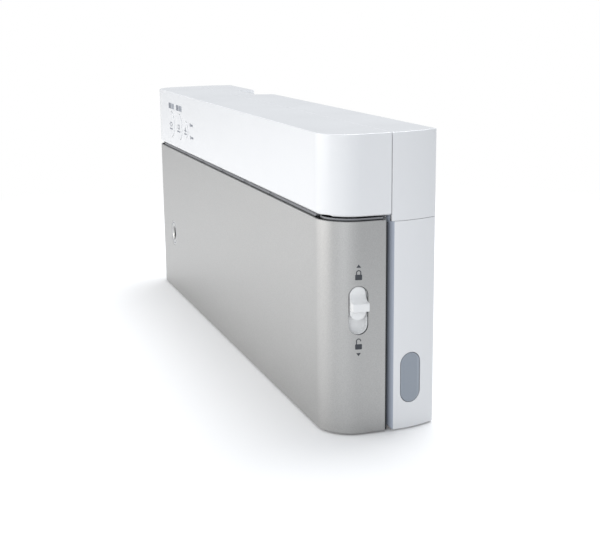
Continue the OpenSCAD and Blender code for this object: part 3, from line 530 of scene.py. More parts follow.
def build_edge_wear_and_highlight(group):
    """Lighter colour where a surface bends sharply: partly polish and dust, partly a painted highlight on
    the edges.
    """
    given, result = open_group(group, {
        "Colour": (0.8, 0.8, 0.8, 1), "Edge wear and highlight colour": (1, 1, 1, 1), "Amount": 0.3,
    }, {"Colour": "Color", "Mask": "Float"})
    bend = add(group, "NewGeometry").outputs["Pointiness"]
    sharp = ramp(group, bend, (0, 0, 0), (1, 1, 1), (0.52, 0.62))
    mask = math_node(group, "MULTIPLY", sharp, given["Amount"])
    mix = add(group, "Mix", data_type="RGBA")
    feed(group, mix, {"Factor": mask, "A": given["Colour"], "B": given["Edge wear and highlight colour"]})
    feed(group, result, {"Colour": mix.outputs["Result"], "Mask": mask})


def build_strokes(group):
    """Long fine strokes along one axis, as on drawn, ground or wound metal."""
    given, result = open_group(group, {
        "Stretch": (20.0, 900.0, 900.0), "Colour": (0.6, 0.6, 0.6, 1), "Contrast": 0.2,
    }, {"Colour": "Color", "Height": "Float"})
    stretched = add(group, "VectorMath", {0: object_place(group), 1: given["Stretch"]}, operation="MULTIPLY")
    lines = add(group, "TexNoise", {"Vector": stretched.outputs[0], "Scale": 1.0, "Detail": 3.0})
    height = lines.outputs["Fac"]
    change = math_node(group, "MULTIPLY", math_node(group, "SUBTRACT", height, 0.5), given["Contrast"])
    tint = scaled(group, given["Colour"], math_node(group, "ADD", change, 1.0))
    feed(group, result, {"Colour": tint, "Height": height})


def add_group(tree, name, build, inputs):
    """Places a shared group, built at its first use, and returns its outputs."""
    group = bpy.data.node_groups.get(name)
    if group is None:
        group = bpy.data.node_groups.new(name, "ShaderNodeTree")
        build(group)
    placed = add(tree, "Group", node_tree=group)
    feed(tree, placed, inputs)
    return placed.outputs


# ---------------------------------------------------------------- finishes


def even(shader, values):
    """Sets inputs of the shader that are the same all over, from names such as Coat_Weight."""
    for key, value in values.items():
        shader.inputs[key.replace("_", " ")].default_value = value


def grained(base, rough, grain, bump, scale=1200, cloud=0.03, spread=0.1, edge=None, wear_and_highlight=0.0, **values):
    """Builder of a finely grained finish; base is a colour, or the name of a colour setting."""

    def build(tree, shader):
        tone = getattr(settings("sealer_finishes"), base) if isinstance(base, str) else base
        made = add_group(tree, "Fine grain", build_grain, {
            "Colour": (*tone, 1), "Roughness": rough, "Grain scale": scale, "Grain contrast": grain,
            "Cloud contrast": cloud, "Roughness spread": spread,
        })
        tint = made["Colour"]
        # Sharp edges get a lighter colour: partly wear, partly painted highlight.
        if edge:
            edge_inputs = {"Colour": tint, "Edge wear and highlight colour": (*edge, 1), "Amount": wear_and_highlight}
            tint = add_group(tree, "Edge wear and highlight", build_edge_wear_and_highlight, edge_inputs)["Colour"]
        feed(tree, shader, {"Base Color": tint, "Roughness": made["Roughness"]})
        even(shader, values)
        add_bump(tree, shader, made["Height"], bump)

    return build


def stroked(base, stretch, contrast, rough, bump, metallic=1.0):
    """Builder of a finish with fine strokes; the larger a stretch, the finer the strokes on that axis."""

    def build(tree, shader):
        made = add_group(tree, "Fine strokes", build_strokes, {
            "Stretch": stretch, "Colour": (*base, 1), "Contrast": contrast,
        })
        feed(tree, shader, {"Base Color": made["Colour"], "Roughness": rough, "Metallic": metallic})
        add_bump(tree, shader, made["Height"], bump)

    return build


def shade_along(tree, shader, axis, start, end, low, high):
    """Base colour that goes from low to high along an axis."""
    axes = add(tree, "SeparateXYZ", {0: object_place(tree)})
    part = add(tree, "MapRange", {"Value": axes.outputs[axis], "From Min": start, "From Max": end})
    feed(tree, shader, {"Base Color": ramp(tree, part.outputs["Result"], low, high)})


def rim_plastic_painted_shade(tree, shader):
    """White plastic of the rim bevel with painted shade: grey at its outer edge and darker towards the gap
    at the lid.
    """
    gap_shade, outer_shade = (0.10, 0.115, 0.14), (0.46, 0.50, 0.58)
    grained(outer_shade, rough=0.45, grain=0.03, bump=4e-6, scale=1300, spread=0.08)(tree, shader)
    front = ORIGIN.y + node_box("base_housing")[0].y
    shade_along(tree, shader, "Y", front, front + settings("sealer_shells").rim_bevel, gap_shade, outer_shade)


def frame_plastic_painted_shade(tree, shader):
    """Grey plastic with painted shade: dark up to just above the lid, where shade falls in the groove, and
    its own grey higher in the groove.
    """
    s = settings("sealer_finishes")
    build = grained("frame_grey", rough=0.5, grain=0.06, bump=7e-6, scale=1300, cloud=0.04)
    build(tree, shader)
    even(shader, {"Specular_IOR_Level": 0.25})
    # Painted shade: coloured dark up to just above the lid.
    shade_to, pale_from = ORIGIN.z + LID_H + 0.0001, ORIGIN.z + LID_H + 0.0009
    shade_along(tree, shader, "Z", shade_to, pale_from, s.dark, s.frame_grey)


def foam(tree, shader):
    cells = add(tree, "TexVoronoi", {"Vector": object_place(tree), "Scale": 1500})
    depth = cells.outputs["Distance"]
    tint = ramp(tree, depth, (0.035, 0.035, 0.04), (0.11, 0.11, 0.12))
    feed(tree, shader, {"Base Color": tint, "Roughness": 0.85, "Sheen Weight": 0.2})
    add_bump(tree, shader, depth, 6e-5)


def glass_cloth(tree, shader):
    across, along = (
        add(tree, "TexWave", {"Vector": object_place(tree), "Scale": 420}, bands_direction=axis)
        for axis in "XZ"
    )
    weave = math_node(tree, "MULTIPLY", across.outputs["Fac"], along.outputs["Fac"])
    feed(tree, shader, {"Base Color": ramp(tree, weave, (0.24, 0.16, 0.09), (0.46, 0.34, 0.21))})
    add_bump(tree, shader, weave, 3e-5)


def solder_mask(tree, shader):
    tracks = add(tree, "TexBrick", {
        "Vector": object_place(tree), "Scale": 90, "Color1": (0.012, 0.13, 0.05, 1),
        "Color2": (0.016, 0.17, 0.065, 1), "Mortar": (0.03, 0.27, 0.11, 1),
    })
    feed(tree, shader, {"Base Color": tracks.outputs["Color"], "Roughness": 0.35, "Coat Weight": 0.3})
    add_bump(tree, shader, tracks.outputs["Fac"], 2e-5)


# Each finish: the name of its material, the slot of the new pieces that wear it (not used by this script),
# and its builder
FINISHES = {
    "white": ("White gloss plastic", "white_plastic", grained(
        "white", rough=0.24, grain=0.006, bump=2e-6, scale=900, cloud=0.008, edge=(0.9, 0.9, 0.92),
        wear_and_highlight=0.25, Coat_Weight=0.25, Coat_Roughness=0.08)),
    "slider": ("Slider white plastic", "white_plastic", grained(
        "slider_white", rough=0.30, grain=0.008, bump=2e-6, cloud=0.01, edge=(0.92, 0.92, 0.92), wear_and_highlight=0.3,
        Coat_Weight=0.2, Coat_Roughness=0.12)),
    "silver": ("Satin silver skin", "metal_skin", grained(
        "silver", rough=0.44, grain=0.16, bump=9e-6, scale=1700, cloud=0.015, spread=0.06, Metallic=1.0)),
    "grey": ("Soft grey plastic", "button_grey", grained(
        "grey", rough=0.46, grain=0.05, bump=6e-6, scale=1600, cloud=0.02, spread=0.08,
        edge=(0.44, 0.48, 0.54), wear_and_highlight=0.4)),
    # Dark plastic of hidden parts, also worn as painted shade by the lid's dark lip and the slider opening's
    # walls
    "dark": ("Dark moulded plastic and painted shade", "dark_plastic", grained(
        "dark", rough=0.48, grain=0.12, bump=8e-6, scale=1400, cloud=0.05, spread=0.12,
        edge=(0.09, 0.09, 0.10), wear_and_highlight=0.3, Specular_IOR_Level=0.2)),
    # Painted shade on the rim bevel, darker towards the gap at the lid
    "rim": ("Rim plastic with painted shade", None, rim_plastic_painted_shade),
    # Frame grey with painted shade low in the groove; worn by the lid frame, the hinge knuckles and the
    # groove's closing wall
    "frame": ("Grey frame plastic with painted shade", "dark_plastic", frame_plastic_painted_shade),
    "deck": ("Deck plastic", None, grained(
        "deck", rough=0.42, grain=0.05, bump=7e-6, scale=1300, edge=(0.66, 0.68, 0.70), wear_and_highlight=0.3)),
    "rubber": ("Black rubber", "rubber", grained(
        "rubber", rough=0.72, grain=0.25, bump=1.6e-5, scale=1100, cloud=0.10, spread=0.14,
        edge=(0.10, 0.10, 0.10), wear_and_highlight=0.35)),
    "foam": ("Closed cell foam", "foam", foam),
    "lamp": ("Lamp lens", "lamp_lens", grained(
        (0.55, 0.66, 0.58), rough=0.16, grain=0.03, bump=2e-6, Coat_Weight=0.5)),
    "silicone": ("Milky silicone", None, grained(
        (0.58, 0.59, 0.57), rough=0.38, grain=0.05, bump=5e-6, Subsurface_Weight=0.2)),
    "insulation": ("Red lead insulation", None, grained(
        (0.42, 0.03, 0.025), rough=0.42, grain=0.06, bump=5e-6)),
    "dark_ink": ("Dark ink", "dark_plastic", grained("print_dark", rough=0.45, grain=0.08, bump=1e-6)),
    "bar_ink": ("Bar ink", "dark_plastic", grained("print_bar", rough=0.45, grain=0.08, bump=1e-6)),
    "pale_ink": ("Pale ink", "dark_plastic", grained("print_pale", rough=0.45, grain=0.08, bump=1e-6)),
    "port": ("Turned port metal", "metal_skin", stroked(
        (0.62, 0.62, 0.61), (700, 700, 700), contrast=0.12, rough=0.34, bump=3e-6)),
    "aluminium": ("Extruded aluminium", None, stroked(
        (0.70, 0.70, 0.71), (12, 1600, 1600), contrast=0.22, rough=0.34, bump=5e-6)),
    "steel": ("Drawn steel", "steel", stroked(
        (0.52, 0.53, 0.55), (40, 900, 900), contrast=0.25, rough=0.32, bump=4e-6)),
    "brass": ("Turned brass", None, stroked(
        (0.70, 0.50, 0.22), (900, 60, 900), contrast=0.25, rough=0.33, bump=4e-6)),
    "core": ("Stacked core iron", None, stroked(
        (0.13, 0.13, 0.14), (30, 2400, 30), contrast=0.9, rough=0.55, bump=3e-5, metallic=0.8)),
    "coil": ("Taped coil winding", None, stroked(
        (0.55, 0.30, 0.10), (60, 60, 1800), contrast=0.5, rough=0.42, bump=3e-5, metallic=0.0)),
    "glass_cloth": ("Coated glass cloth", None, glass_cloth),
    "board": ("Solder mask", None, solder_mask),
}

# Pieces that keep their construction mesh, by finish
CONSTRUCTION_PIECES = {
    "deck": "deck vacuum_channel drip_tray check_valve",
    "frame": "lid_frame",
    "dark": "latch_hooks catch_right catch_left panel_switches pump_head",
    "rubber": "press_strip port_tube pump_cradle",
    "aluminium": "seal_bar",
    "steel": "hinge_rod heating_ribbon lock_plate catch_spring_right catch_spring_left motor"
             " pump_eccentric lid_screws",
    "brass": "heater_terminals",
    "insulation": "heater_leads",
    "glass_cloth": "release_tape",
    "board": "control_board power_board",
    "core": "transformer",
    "coil": "transformer_coil",
    "silicone": "vacuum_hose",
}


def finish(key):
    """Material of a finish, made at its first use."""
    name, _, build = FINISHES[key]
    made = bpy.data.materials.get(name)
    if made is None:
        made = bpy.data.materials.new(name)
        made.use_nodes = True
        build(made.node_tree, made.node_tree.nodes["Principled BSDF"])
    return made


# ---------------------------------------------------------------- white shells


class SEALER_OT_control_cover(bpy.types.Operator):
    """White front shell over the lid, with its button openings and hinge knuckles."""

    bl_idname = "sealer.control_cover"
    bl_label = "Control cover"

    def execute(self, context):
        s, b = settings("sealer_shells"), settings("sealer_buttons")
        _, back, top = node_box("control_cover")[1]
        low = LID_H + s.groove
        rise = s.top_rise / node_box("base_housing")[1].y
        high = top - rise * back
        shell = column("control_cover_shell", low, high, 0, back, rise=rise)
        bevel(shell, s.lip_edge, 5, lambda m: m.z < low + EPS and m.y < back - EPS)
        bevel(shell, s.outer_edge, 4, lambda m: m.z > low + s.lip_edge + EPS and m.y < back - EPS)
        cut(shell, column("inside", low + s.wall, high - s.wall, -OVER, back + OVER, s.wall, rise))
        rod, reach = sum(node_box("hinge_rod"), Vector()) / 2, HALF_L - s.wall
        clear = 0.0003
        swing = math.hypot(rod.y, LID_H - rod.z) + clear
        cut(shell, along_x("room for the lid edge", disc(swing, 96), -reach, reach, rod.y, rod.z))
        for node in PANEL_KEYS:
            first, last = node_box(node)
            hole, middle = disc((last.x - first.x) / 2 - b.flange + b.gap), (first + last) / 2
            cut(shell, along_y("hole", hole, -OVER, 2 * s.wall, middle.x, middle.z))
        edge_zone = 0.003
        holes_low, holes_high = low + edge_zone, high - edge_zone
        bevel(shell, s.seam_edge, 2,
              lambda m: m.y > back - EPS or (m.y < EPS and holes_low < m.z < holes_high))
        settle(shell, "base", "white", ("control_cover",), on_plan=True)
        self.knuckles(low + s.wall)
        return {"FINISHED"}

    @staticmethod
    def knuckles(top):
        """Tabs that hold the hinge rod in the groove."""
        _, y, z = centre_of("hinge_rod")
        tab_w, tab_r, tab_y, neck = 0.0102, 0.00185, 0.0021, 0.0003
        pitch, count, steps = 0.056, 5, 18
        turns = [math.pi * (0.56 + 1.44 * k / steps) for k in range(steps + 1)]
        shape = [(y + tab_y * math.cos(a), z + tab_r * math.sin(a)) for a in turns]
        shape += [(y + tab_y, top), (y - neck, top)]
        middles = [(i - (count - 1) / 2) * pitch for i in range(count)]
        tabs = [along_x("tab", shape, x - tab_w / 2, x + tab_w / 2) for x in middles]
        settle(bevel(join("hinge_knuckles", tabs), 0.0002, 2), "base", "frame")


class SEALER_OT_rear_cover(bpy.types.Operator):
    """White upper back shell with the scoop in its back top edge."""

    bl_idname = "sealer.rear_cover"
    bl_label = "Rear cover"

    def execute(self, context):
        s = settings("sealer_shells")
        (_, front, low), (_, back, top) = node_box("rear_cover")
        rise = s.top_rise / back
        high = top - rise * back
        shell = column("rear_cover_shell", low, high, front, back, rise=rise)
        bevel(shell, s.outer_edge, 4, lambda m: m.y > front + EPS and m.z > low + EPS)
        cut(shell, self.scoop(top, back))
        inside = column("inside", low - OVER, high - s.wall, front - OVER, back - s.wall, s.wall, rise)
        cut(shell, cut(inside, self.scoop(top, back, s.wall)))
        bevel(shell, s.seam_edge, 2, lambda m: m.y < front + EPS or m.z < low + EPS)
        drill_back(shell, low, high)
        settle(shell, "base", "white", ("rear_cover",), on_plan=True)
        return {"FINISHED"}

    @staticmethod
    def scoop(top, back, grow=0.0):
        """Space of the scoop, or that space grown by the wall that stays under it."""
        s = settings("sealer_shells")
        near, far, floor = back - s.scoop_w - grow, back + OVER, top - s.scoop_h - grow
        left, slant = s.scoop_at - HALF_L - grow, 0.6 * s.scoop_w
        right = s.scoop_at - HALF_L + s.scoop_l + grow
        rings = []
        for x, back_x in ((left, left), (right, right + slant)):
            lower = [(x, near, top - grow), (back_x, far, floor)]
            rings.append(lower + [(back_x, far, top + OVER), (x, near, top + OVER)])
        return prism("scoop", rings)


def spots(node, r, *between):
    """Middles of parts of radius r, in columns, along the lower and upper edge of a node's box."""
    low, high = node_box(node)
    return [(x, z) for x in (low.x + r, *between, high.x - r) for z in (low.z + r, high.z - r)]


def drill_back(shell, low, high):
    """Screw recesses, foot pockets and the hole for the cord bush, where they fall in this shell."""
    back = node_box("base_housing")[1].y
    bush_x, _, bush_z = centre_of("cord_bush")
    holes = [("recess", SCREW_R, 32, SCREW_SINK, x, z) for x, z in spots("case_screws", SCREW_R, 0.0)]
    holes += [("pocket", FOOT_R, 48, FOOT_SINK, x, z) for x, z in spots("back_feet", FOOT_R)]
    holes.append(("bush hole", BUSH_R, 48, BUSH_SINK, bush_x, bush_z))
    for name, r, steps, sink, x, z in holes:
        if low < z < high:
            cut(shell, along_y(name, disc(r + FIT, steps), back - sink, back + OVER, x, z))


def pads_at(node):
    """Outline of a rubber pad, the depth of its middle, and the places of the pads of a node."""
    low, high = node_box(node)
    reach = high.x - PAD_L / 2
    places = (-reach, 0, reach)
    if node == "base_pads":
        places = (-reach, reach, PAD_PITCH - reach, reach - PAD_PITCH)
    return rounded(PAD_L, high.y - low.y, PAD_CORNER), (low.y + high.y) / 2, places


def pad_pockets(shell, node):
    shape, y, places = pads_at(node)
    for x in places:
        cut(shell, along_z("pad pocket", shape, -OVER, PAD_SINK, x, y))


class SEALER_OT_base_housing(bpy.types.Operator):
    """White rear lower shell with the bevelled rim and the two release openings."""

    bl_idname = "sealer.base_housing"
    bl_label = "Base housing"

    def execute(self, context):
        s = settings("sealer_shells")
        low_corner, (_, back, top) = node_box("base_housing")
        front = low_corner.y + s.rim_back
        rim_y = front + s.rim_bevel
        seam_gap, lip_root, slope = 0.00015, 0.004, (-0.95, -0.3)
        seam = node_box("rear_cover")[0].z - seam_gap
        rim = self.rimmed("base_shell", 0, seam, front, back)
        lip = self.rimmed("lip", seam - lip_root, top, front, node_box("control_cover")[1].y)
        bevel(rim, s.outer_edge, 4, lambda m: m.y > rim_y + EPS and m.z < seam - EPS)
        boolean(rim, "UNION", lip)
        pocket = column("pocket", s.wall, top + OVER, rim_y, back - s.wall, s.wall)
        inset = s.rim_bevel + s.wall
        window = column("window", inset, top + OVER, front - OVER, rim_y + OVER, inset)
        cut(rim, pocket, window, self.foot_wedge(front))
        self.release_openings(rim)
        pad_pockets(rim, "base_pads")
        drill_back(rim, 0, seam)
        bevel(rim, s.seam_edge, 1, self.seam_edges(front, back, seam))
        settle(rim, "base", "white", ("base_housing",), on_plan=True)
        # The rim's bevel faces get white plastic with painted shade, darker towards the gap at the lid.
        rim.data.materials.append(finish("rim"))
        edge = ORIGIN.y + rim_y + EPS
        for face in rim.data.polygons:
            if face.center.y < edge and slope[0] < face.normal.y < slope[1]:
                face.material_index = 1
        return {"FINISHED"}

    @staticmethod
    def release_openings(shell):
        gap, well = settings("sealer_buttons").release_gap, 0.0088
        for node, side in (("release_button_right", 1), ("release_button_left", -1)):
            low, high = node_box(node)
            middle = (low + high) / 2
            shape = pill(high.y - low.y + 2 * gap, high.z - low.z + 2 * gap)
            ends = sorted((side * (HALF_L - well), side * (HALF_L + OVER)))
            cut(shell, along_x("opening", shape, *ends, middle.y, middle.z))

    @staticmethod
    def seam_edges(front, back, seam):
        """Picks the edges at the seam under the rear cover and around the release openings."""

        edge_zone, low, high, rim_zone = 0.003, 0.010, 0.050, 0.006

        def pick(m):
            if m.y > back - edge_zone:
                return False
            at_opening = abs(m.x) > HALF_L - edge_zone and low < m.z < high and m.y > front + rim_zone
            return abs(m.z - seam) < EPS or at_opening

        return pick

    @staticmethod
    def rimmed(name, low, high, near, far):
        """Solid with the body's plan whose front corners at the rim are bevelled."""
        width = settings("sealer_shells").rim_bevel
        reach = min(width, far - near)
        right = [(HALF_L - width, near), (HALF_L - width + reach, near + reach)]
        plan = right + [(x, y) for x, y in outline(near, far) if y > near + width + EPS]
        return along_z(name, plan + [(-x, y) for x, y in reversed(right)], low, high)

    @staticmethod
    def foot_wedge(front):
        """What the bevel takes off along the foot of the rim."""
        reach = settings("sealer_shells").rim_bevel + OVER
        wedge = [(front - OVER, -OVER), (front + reach, -OVER), (front - OVER, reach)]
        return along_x("foot wedge", wedge, -HALF_L - OVER, HALF_L + OVER)


# ---------------------------------------------------------------- lid


class SEALER_OT_lid_skin(bpy.types.Operator):
    """Folded metal skin of the lid with its openings for the slider and the port."""

    bl_idname = "sealer.lid_skin"
    bl_label = "Lid skin"

    def execute(self, context):
        s = settings("sealer_lid")
        foot_edge, slot_edge, slot_rim, slot_depth, slot_reach = 0.0009, 0.00025, 0.0006, 0.0035, 0.006
        end_zone, sideways = 0.010, 0.8
        skin = column("lid_metal_skin", 0, LID_H, 0, LID_T)
        bevel(skin, foot_edge, 4, lambda m: m.z < EPS and m.y < LID_T - EPS)
        cut(skin, column("inside", s.skin, LID_H + OVER, -OVER, LID_T + OVER, s.skin))
        low, high = node_box("port_collar")
        port, middle = disc((high.x - low.x) / 2 + FIT, 72), (low + high) / 2
        cut(skin, along_y("port hole", port, -OVER, 2 * s.skin, middle.x, middle.z))
        width, height, y, z = slider_opening()
        cut(skin, along_x("slider opening", pill(width, height), HALF_L - end_zone, HALF_L + OVER, y, z))
        pad_pockets(skin, "lid_pads")
        bevel(skin, s.fold_edge, 1, lambda m: m.z > LID_H - EPS or m.y > LID_T - EPS)
        bevel(skin, slot_edge, 1, lambda m: m.x > HALF_L - slot_depth
              and abs(m.z - z) < height / 2 + EPS and abs(m.y - y) < slot_reach)
        settle(skin, "lid", "silver", ("lid_skin",), on_plan=True)
        # Painted shade: the walls and chamfer of the slider opening are coloured dark.
        skin.data.materials.append(finish("dark"))
        for face in skin.data.polygons:
            at = face.center - ORIGIN
            in_slot = abs(at.y - y) < width / 2 + slot_rim and abs(at.z - z) < height / 2 + slot_rim
            if in_slot and at.x > HALF_L - slot_depth and abs(face.normal.x) < sideways:
                face.material_index = 1
        self.gap_shade_lip()
        self.closing_wall()
        return {"FINISHED"}

    @staticmethod
    def gap_shade_lip():
        """Dark strip on the lid frame between the skin and the rim of the base: a dark piece that paints the
        shade of that gap.
        """
        side, foot, top, w, sunk = HALF_L - 0.0003, 0.0007, LID_H - 0.0012, 0.0014, 0.0001
        shape = [(-side, top), (-side, foot), (side, foot), (side, top)]
        shape += [(side - w, top), (side - w, foot + w), (-side + w, foot + w), (-side + w, top)]
        reach = settings("sealer_lid").shade_lip_reach
        lip = along_y("lid_gap_shade_lip", shape, LID_T - sunk, LID_T + reach)
        settle(bevel(lip, 0.0001, 2), "lid", "dark")

    @staticmethod
    def closing_wall():
        """Wall that closes the groove above the lid, behind its mouth."""
        s = settings("sealer_lid")
        low, high = LID_H - 0.0020, LID_H + s.closing_h
        near, far, thick = 0.0030, LID_T - 0.0010, 0.0010
        wall = column("groove_closing_wall", low, high, near, far, s.closing_inset)
        inner = s.closing_inset + thick
        cut(wall, column("inner", low - OVER, high + OVER, near - OVER, far + OVER, inner))
        # The frame plastic paints shade on the lower part of this wall.
        settle(wall, "lid", "frame")


def low_of_bed():
    """Outer face of the floor of the slider bed."""
    floor_t = 0.0016
    return node_box("slider_bed")[0].x + floor_t


def slider_opening():
    """Width, height and middle of the slider opening, from the bed that stands in it."""
    rim = settings("sealer_lid").bed_rim
    low, high = node_box("slider_bed")
    _, y, z = centre_of("slider_bed")
    return high.y - low.y - 2 * rim, high.z - low.z - 2 * rim, y, z


class SEALER_OT_store_slider(bpy.types.Operator):
    """White slider with a thumb ridge and a hollow ramp, and the pale bed that it runs in."""

    bl_idname = "sealer.store_slider"
    bl_label = "Store slider"

    def execute(self, context):
        self.bed()
        self.knob()
        return {"FINISHED"}

    @staticmethod
    def bed():
        s = settings("sealer_lid")
        width, height, y, z = slider_opening()
        outer = node_box("slider_bed")[0].x
        rim, fit, slot_r, slot_t = 2 * s.bed_rim, 0.0001, 0.0008, 0.01
        body = along_x("slider_bed_dish", pill(width + rim, height + rim), outer, HALF_L, y, z)
        boolean(body, "INTERSECT", column("inner", -OVER, LID_H + OVER, 0, LID_T, s.skin + fit))
        cut(body, along_x("hollow", pill(width, height), low_of_bed(), HALF_L + OVER, y, z))
        middle = centre_of("slider_knob")[2]
        slot_low = middle - s.neck_h / 2 - s.slide - s.slider_play
        slot_high = middle + s.neck_h / 2 + s.slider_play
        slot = rounded(s.neck_w + 2 * s.slider_play, slot_high - slot_low, slot_r)
        cut(body, along_x("slot", slot, outer - OVER, outer + slot_t, y, (slot_low + slot_high) / 2))
        settle(body, "lid", "slider", ("slider_bed",))

    @staticmethod
    def knob():
        s = settings("sealer_lid")
        low, high = node_box("slider_knob")
        _, y, z = centre_of("slider_knob")
        face, tip = HALF_L - s.knob_sunk, high.x
        clear, soft, end_l, neck_in, ramp_steps, end_steps = 0.00035, 0.0004, 0.0010, 0.0005, 14, 6
        deep, floor = face - s.ramp_t, low_of_bed() + clear
        ridge = low.z + s.ridge_low
        crest = ridge + s.ridge_h
        ramp_top = crest + s.ramp_h
        profile = [(floor, low.z - OVER), (face, low.z - OVER), (face, ridge - soft), (face + soft, ridge)]
        profile += [(tip - soft, ridge), (tip, ridge + soft), (tip, crest - soft), (tip - soft, crest)]
        for a in quarter(ramp_steps)[1:]:
            fall = (tip - soft - deep) * math.sin(a)
            profile.append((tip - soft - fall, crest + s.ramp_h * (1 - math.cos(a))))
        for i in range(1, end_steps + 1):
            t = i / end_steps
            rise = s.ramp_t * (1 - math.cos(math.pi * t)) / 2
            profile.append((deep + rise, ramp_top + (high.z - end_l - ramp_top) * t))
        profile += [(face, high.z + OVER), (floor, high.z + OVER)]
        wide = high.y - low.y - 2 * s.slider_play
        half = wide / 2 + OVER
        knob = along_x("slider_knob_cap", pill(wide, high.z - low.z, 24), floor, tip + OVER, y, z)
        boolean(knob, "INTERSECT", along_y("side view", profile, y - half, y + half))
        bevel(knob, s.slider_edge, 3, lambda m: m.x > deep - EPS, 35)
        neck_shape = rounded(s.neck_w, s.neck_h, soft)
        neck = along_x("neck", neck_shape, node_box("lock_plate")[1].x, floor + neck_in, y, z)
        piece = join("slider_knob_piece", [knob, neck])
        settle(piece, "store_slider", "slider", ("slider_knob",), 40)


class SEALER_OT_port(bpy.types.Operator):
    """Round collar of the accessory port, turned with a bevelled mouth."""

    bl_idname = "sealer.port"
    bl_label = "Accessory port"

    def execute(self, context):
        s = settings("sealer_lid")
        low, high = node_box("port_collar")
        x, _, z = centre_of("port_collar")
        r, bore, lip = (high.x - low.x) / 2, s.port_bore, s.port_lip
        flange, tube_r = 0.0016, bore + 0.0012
        profile = [
            (bore + lip, 0), (r - 0.0005, 0), (r - 0.00015, 0.00012), (r, 0.0005), (r, flange),
            (tube_r, flange), (tube_r, high.y), (bore, high.y), (bore, lip * 1.2),
            (bore + 0.0002, lip * 0.8),
        ]
        settle(lathe("port_collar_ring", profile, x, z, 96), "lid", "port", ("port_collar",))
        outer, inner, proud, deep = r - 0.0016, r - 0.0022, -0.00001, 0.0002
        line = [(inner, proud), (outer, proud), (outer, deep), (inner, deep)]
        settle(lathe("port_ring_line", line, x, z, 96), "lid", "bar_ink")
        return {"FINISHED"}


# ---------------------------------------------------------------- buttons and marks


class SEALER_OT_release_buttons(bpy.types.Operator):
    """Grey pill-shaped release button at each end, with a soft rounded face."""

    bl_idname = "sealer.release_buttons"
    bl_label = "Release buttons"

    def execute(self, context):
        edge, near, cap_zone = settings("sealer_buttons").release_edge, 0.02, 0.004
        for way, side in (("right", 1), ("left", -1)):
            node = f"release_button_{way}"
            low, high = node_box(node)
            _, y, z = centre_of(node)
            ends = (low.x, high.x + OVER) if side > 0 else (low.x - OVER, high.x)
            cap = along_x(f"{node}_cap", pill(high.y - low.y, high.z - low.z, 20), *ends, y, z)
            proud = max(abs(low.x), abs(high.x)) - HALF_L
            boolean(cap, "INTERSECT", column("face", -OVER, LID_H, near, high.y + OVER, -proud))
            bevel(cap, edge, 5, lambda m, s=side: m.x * s > HALF_L - cap_zone)
            settle(cap, f"release_{way}", "grey", (node,), 24)
        return {"FINISHED"}


class SEALER_OT_panel_buttons(bpy.types.Operator):
    """Three round white panel buttons, faintly domed, with flanges and stems behind."""

    bl_idname = "sealer.panel_buttons"
    bl_label = "Panel buttons"

    def execute(self, context):
        b = settings("sealer_buttons")
        dish, stem_r, rings, play, flange_t = 0.00008, 0.002, 8, 0.00035, 0.001
        flange = settings("sealer_shells").wall + play
        flange_back = flange + flange_t
        for node, body in PANEL_KEYS.items():
            low, high = node_box(node)
            x, _, z = centre_of(node)
            flange_r, face = (high.x - low.x) / 2, low.y
            r = flange_r - b.flange
            profile = [(r * k / rings, face + dish * (1 - (k / rings) ** 2)) for k in range(rings)]
            profile += [
                (r - b.edge + b.edge * math.sin(a), face + b.edge - b.edge * math.cos(a)) for a in quarter(5)
            ]
            profile += [(r, flange), (flange_r, flange), (flange_r, flange_back)]
            profile += [(stem_r, flange_back), (stem_r, high.y), (0, high.y)]
            settle(lathe(f"{node}_cap", profile, x, z, 96), body, "white", (node,), 24)
        return {"FINISHED"}


def mark(name, shapes, at, body, key):
    """Printed mark on the panel from outlines in X and Z."""
    (x, y, z), sunk = at, 0.00004
    back = y + settings("sealer_buttons").mark_t + sunk
    return settle(join(name, [along_y("stroke", shape, y, back, x, z) for shape in shapes]), body, key)


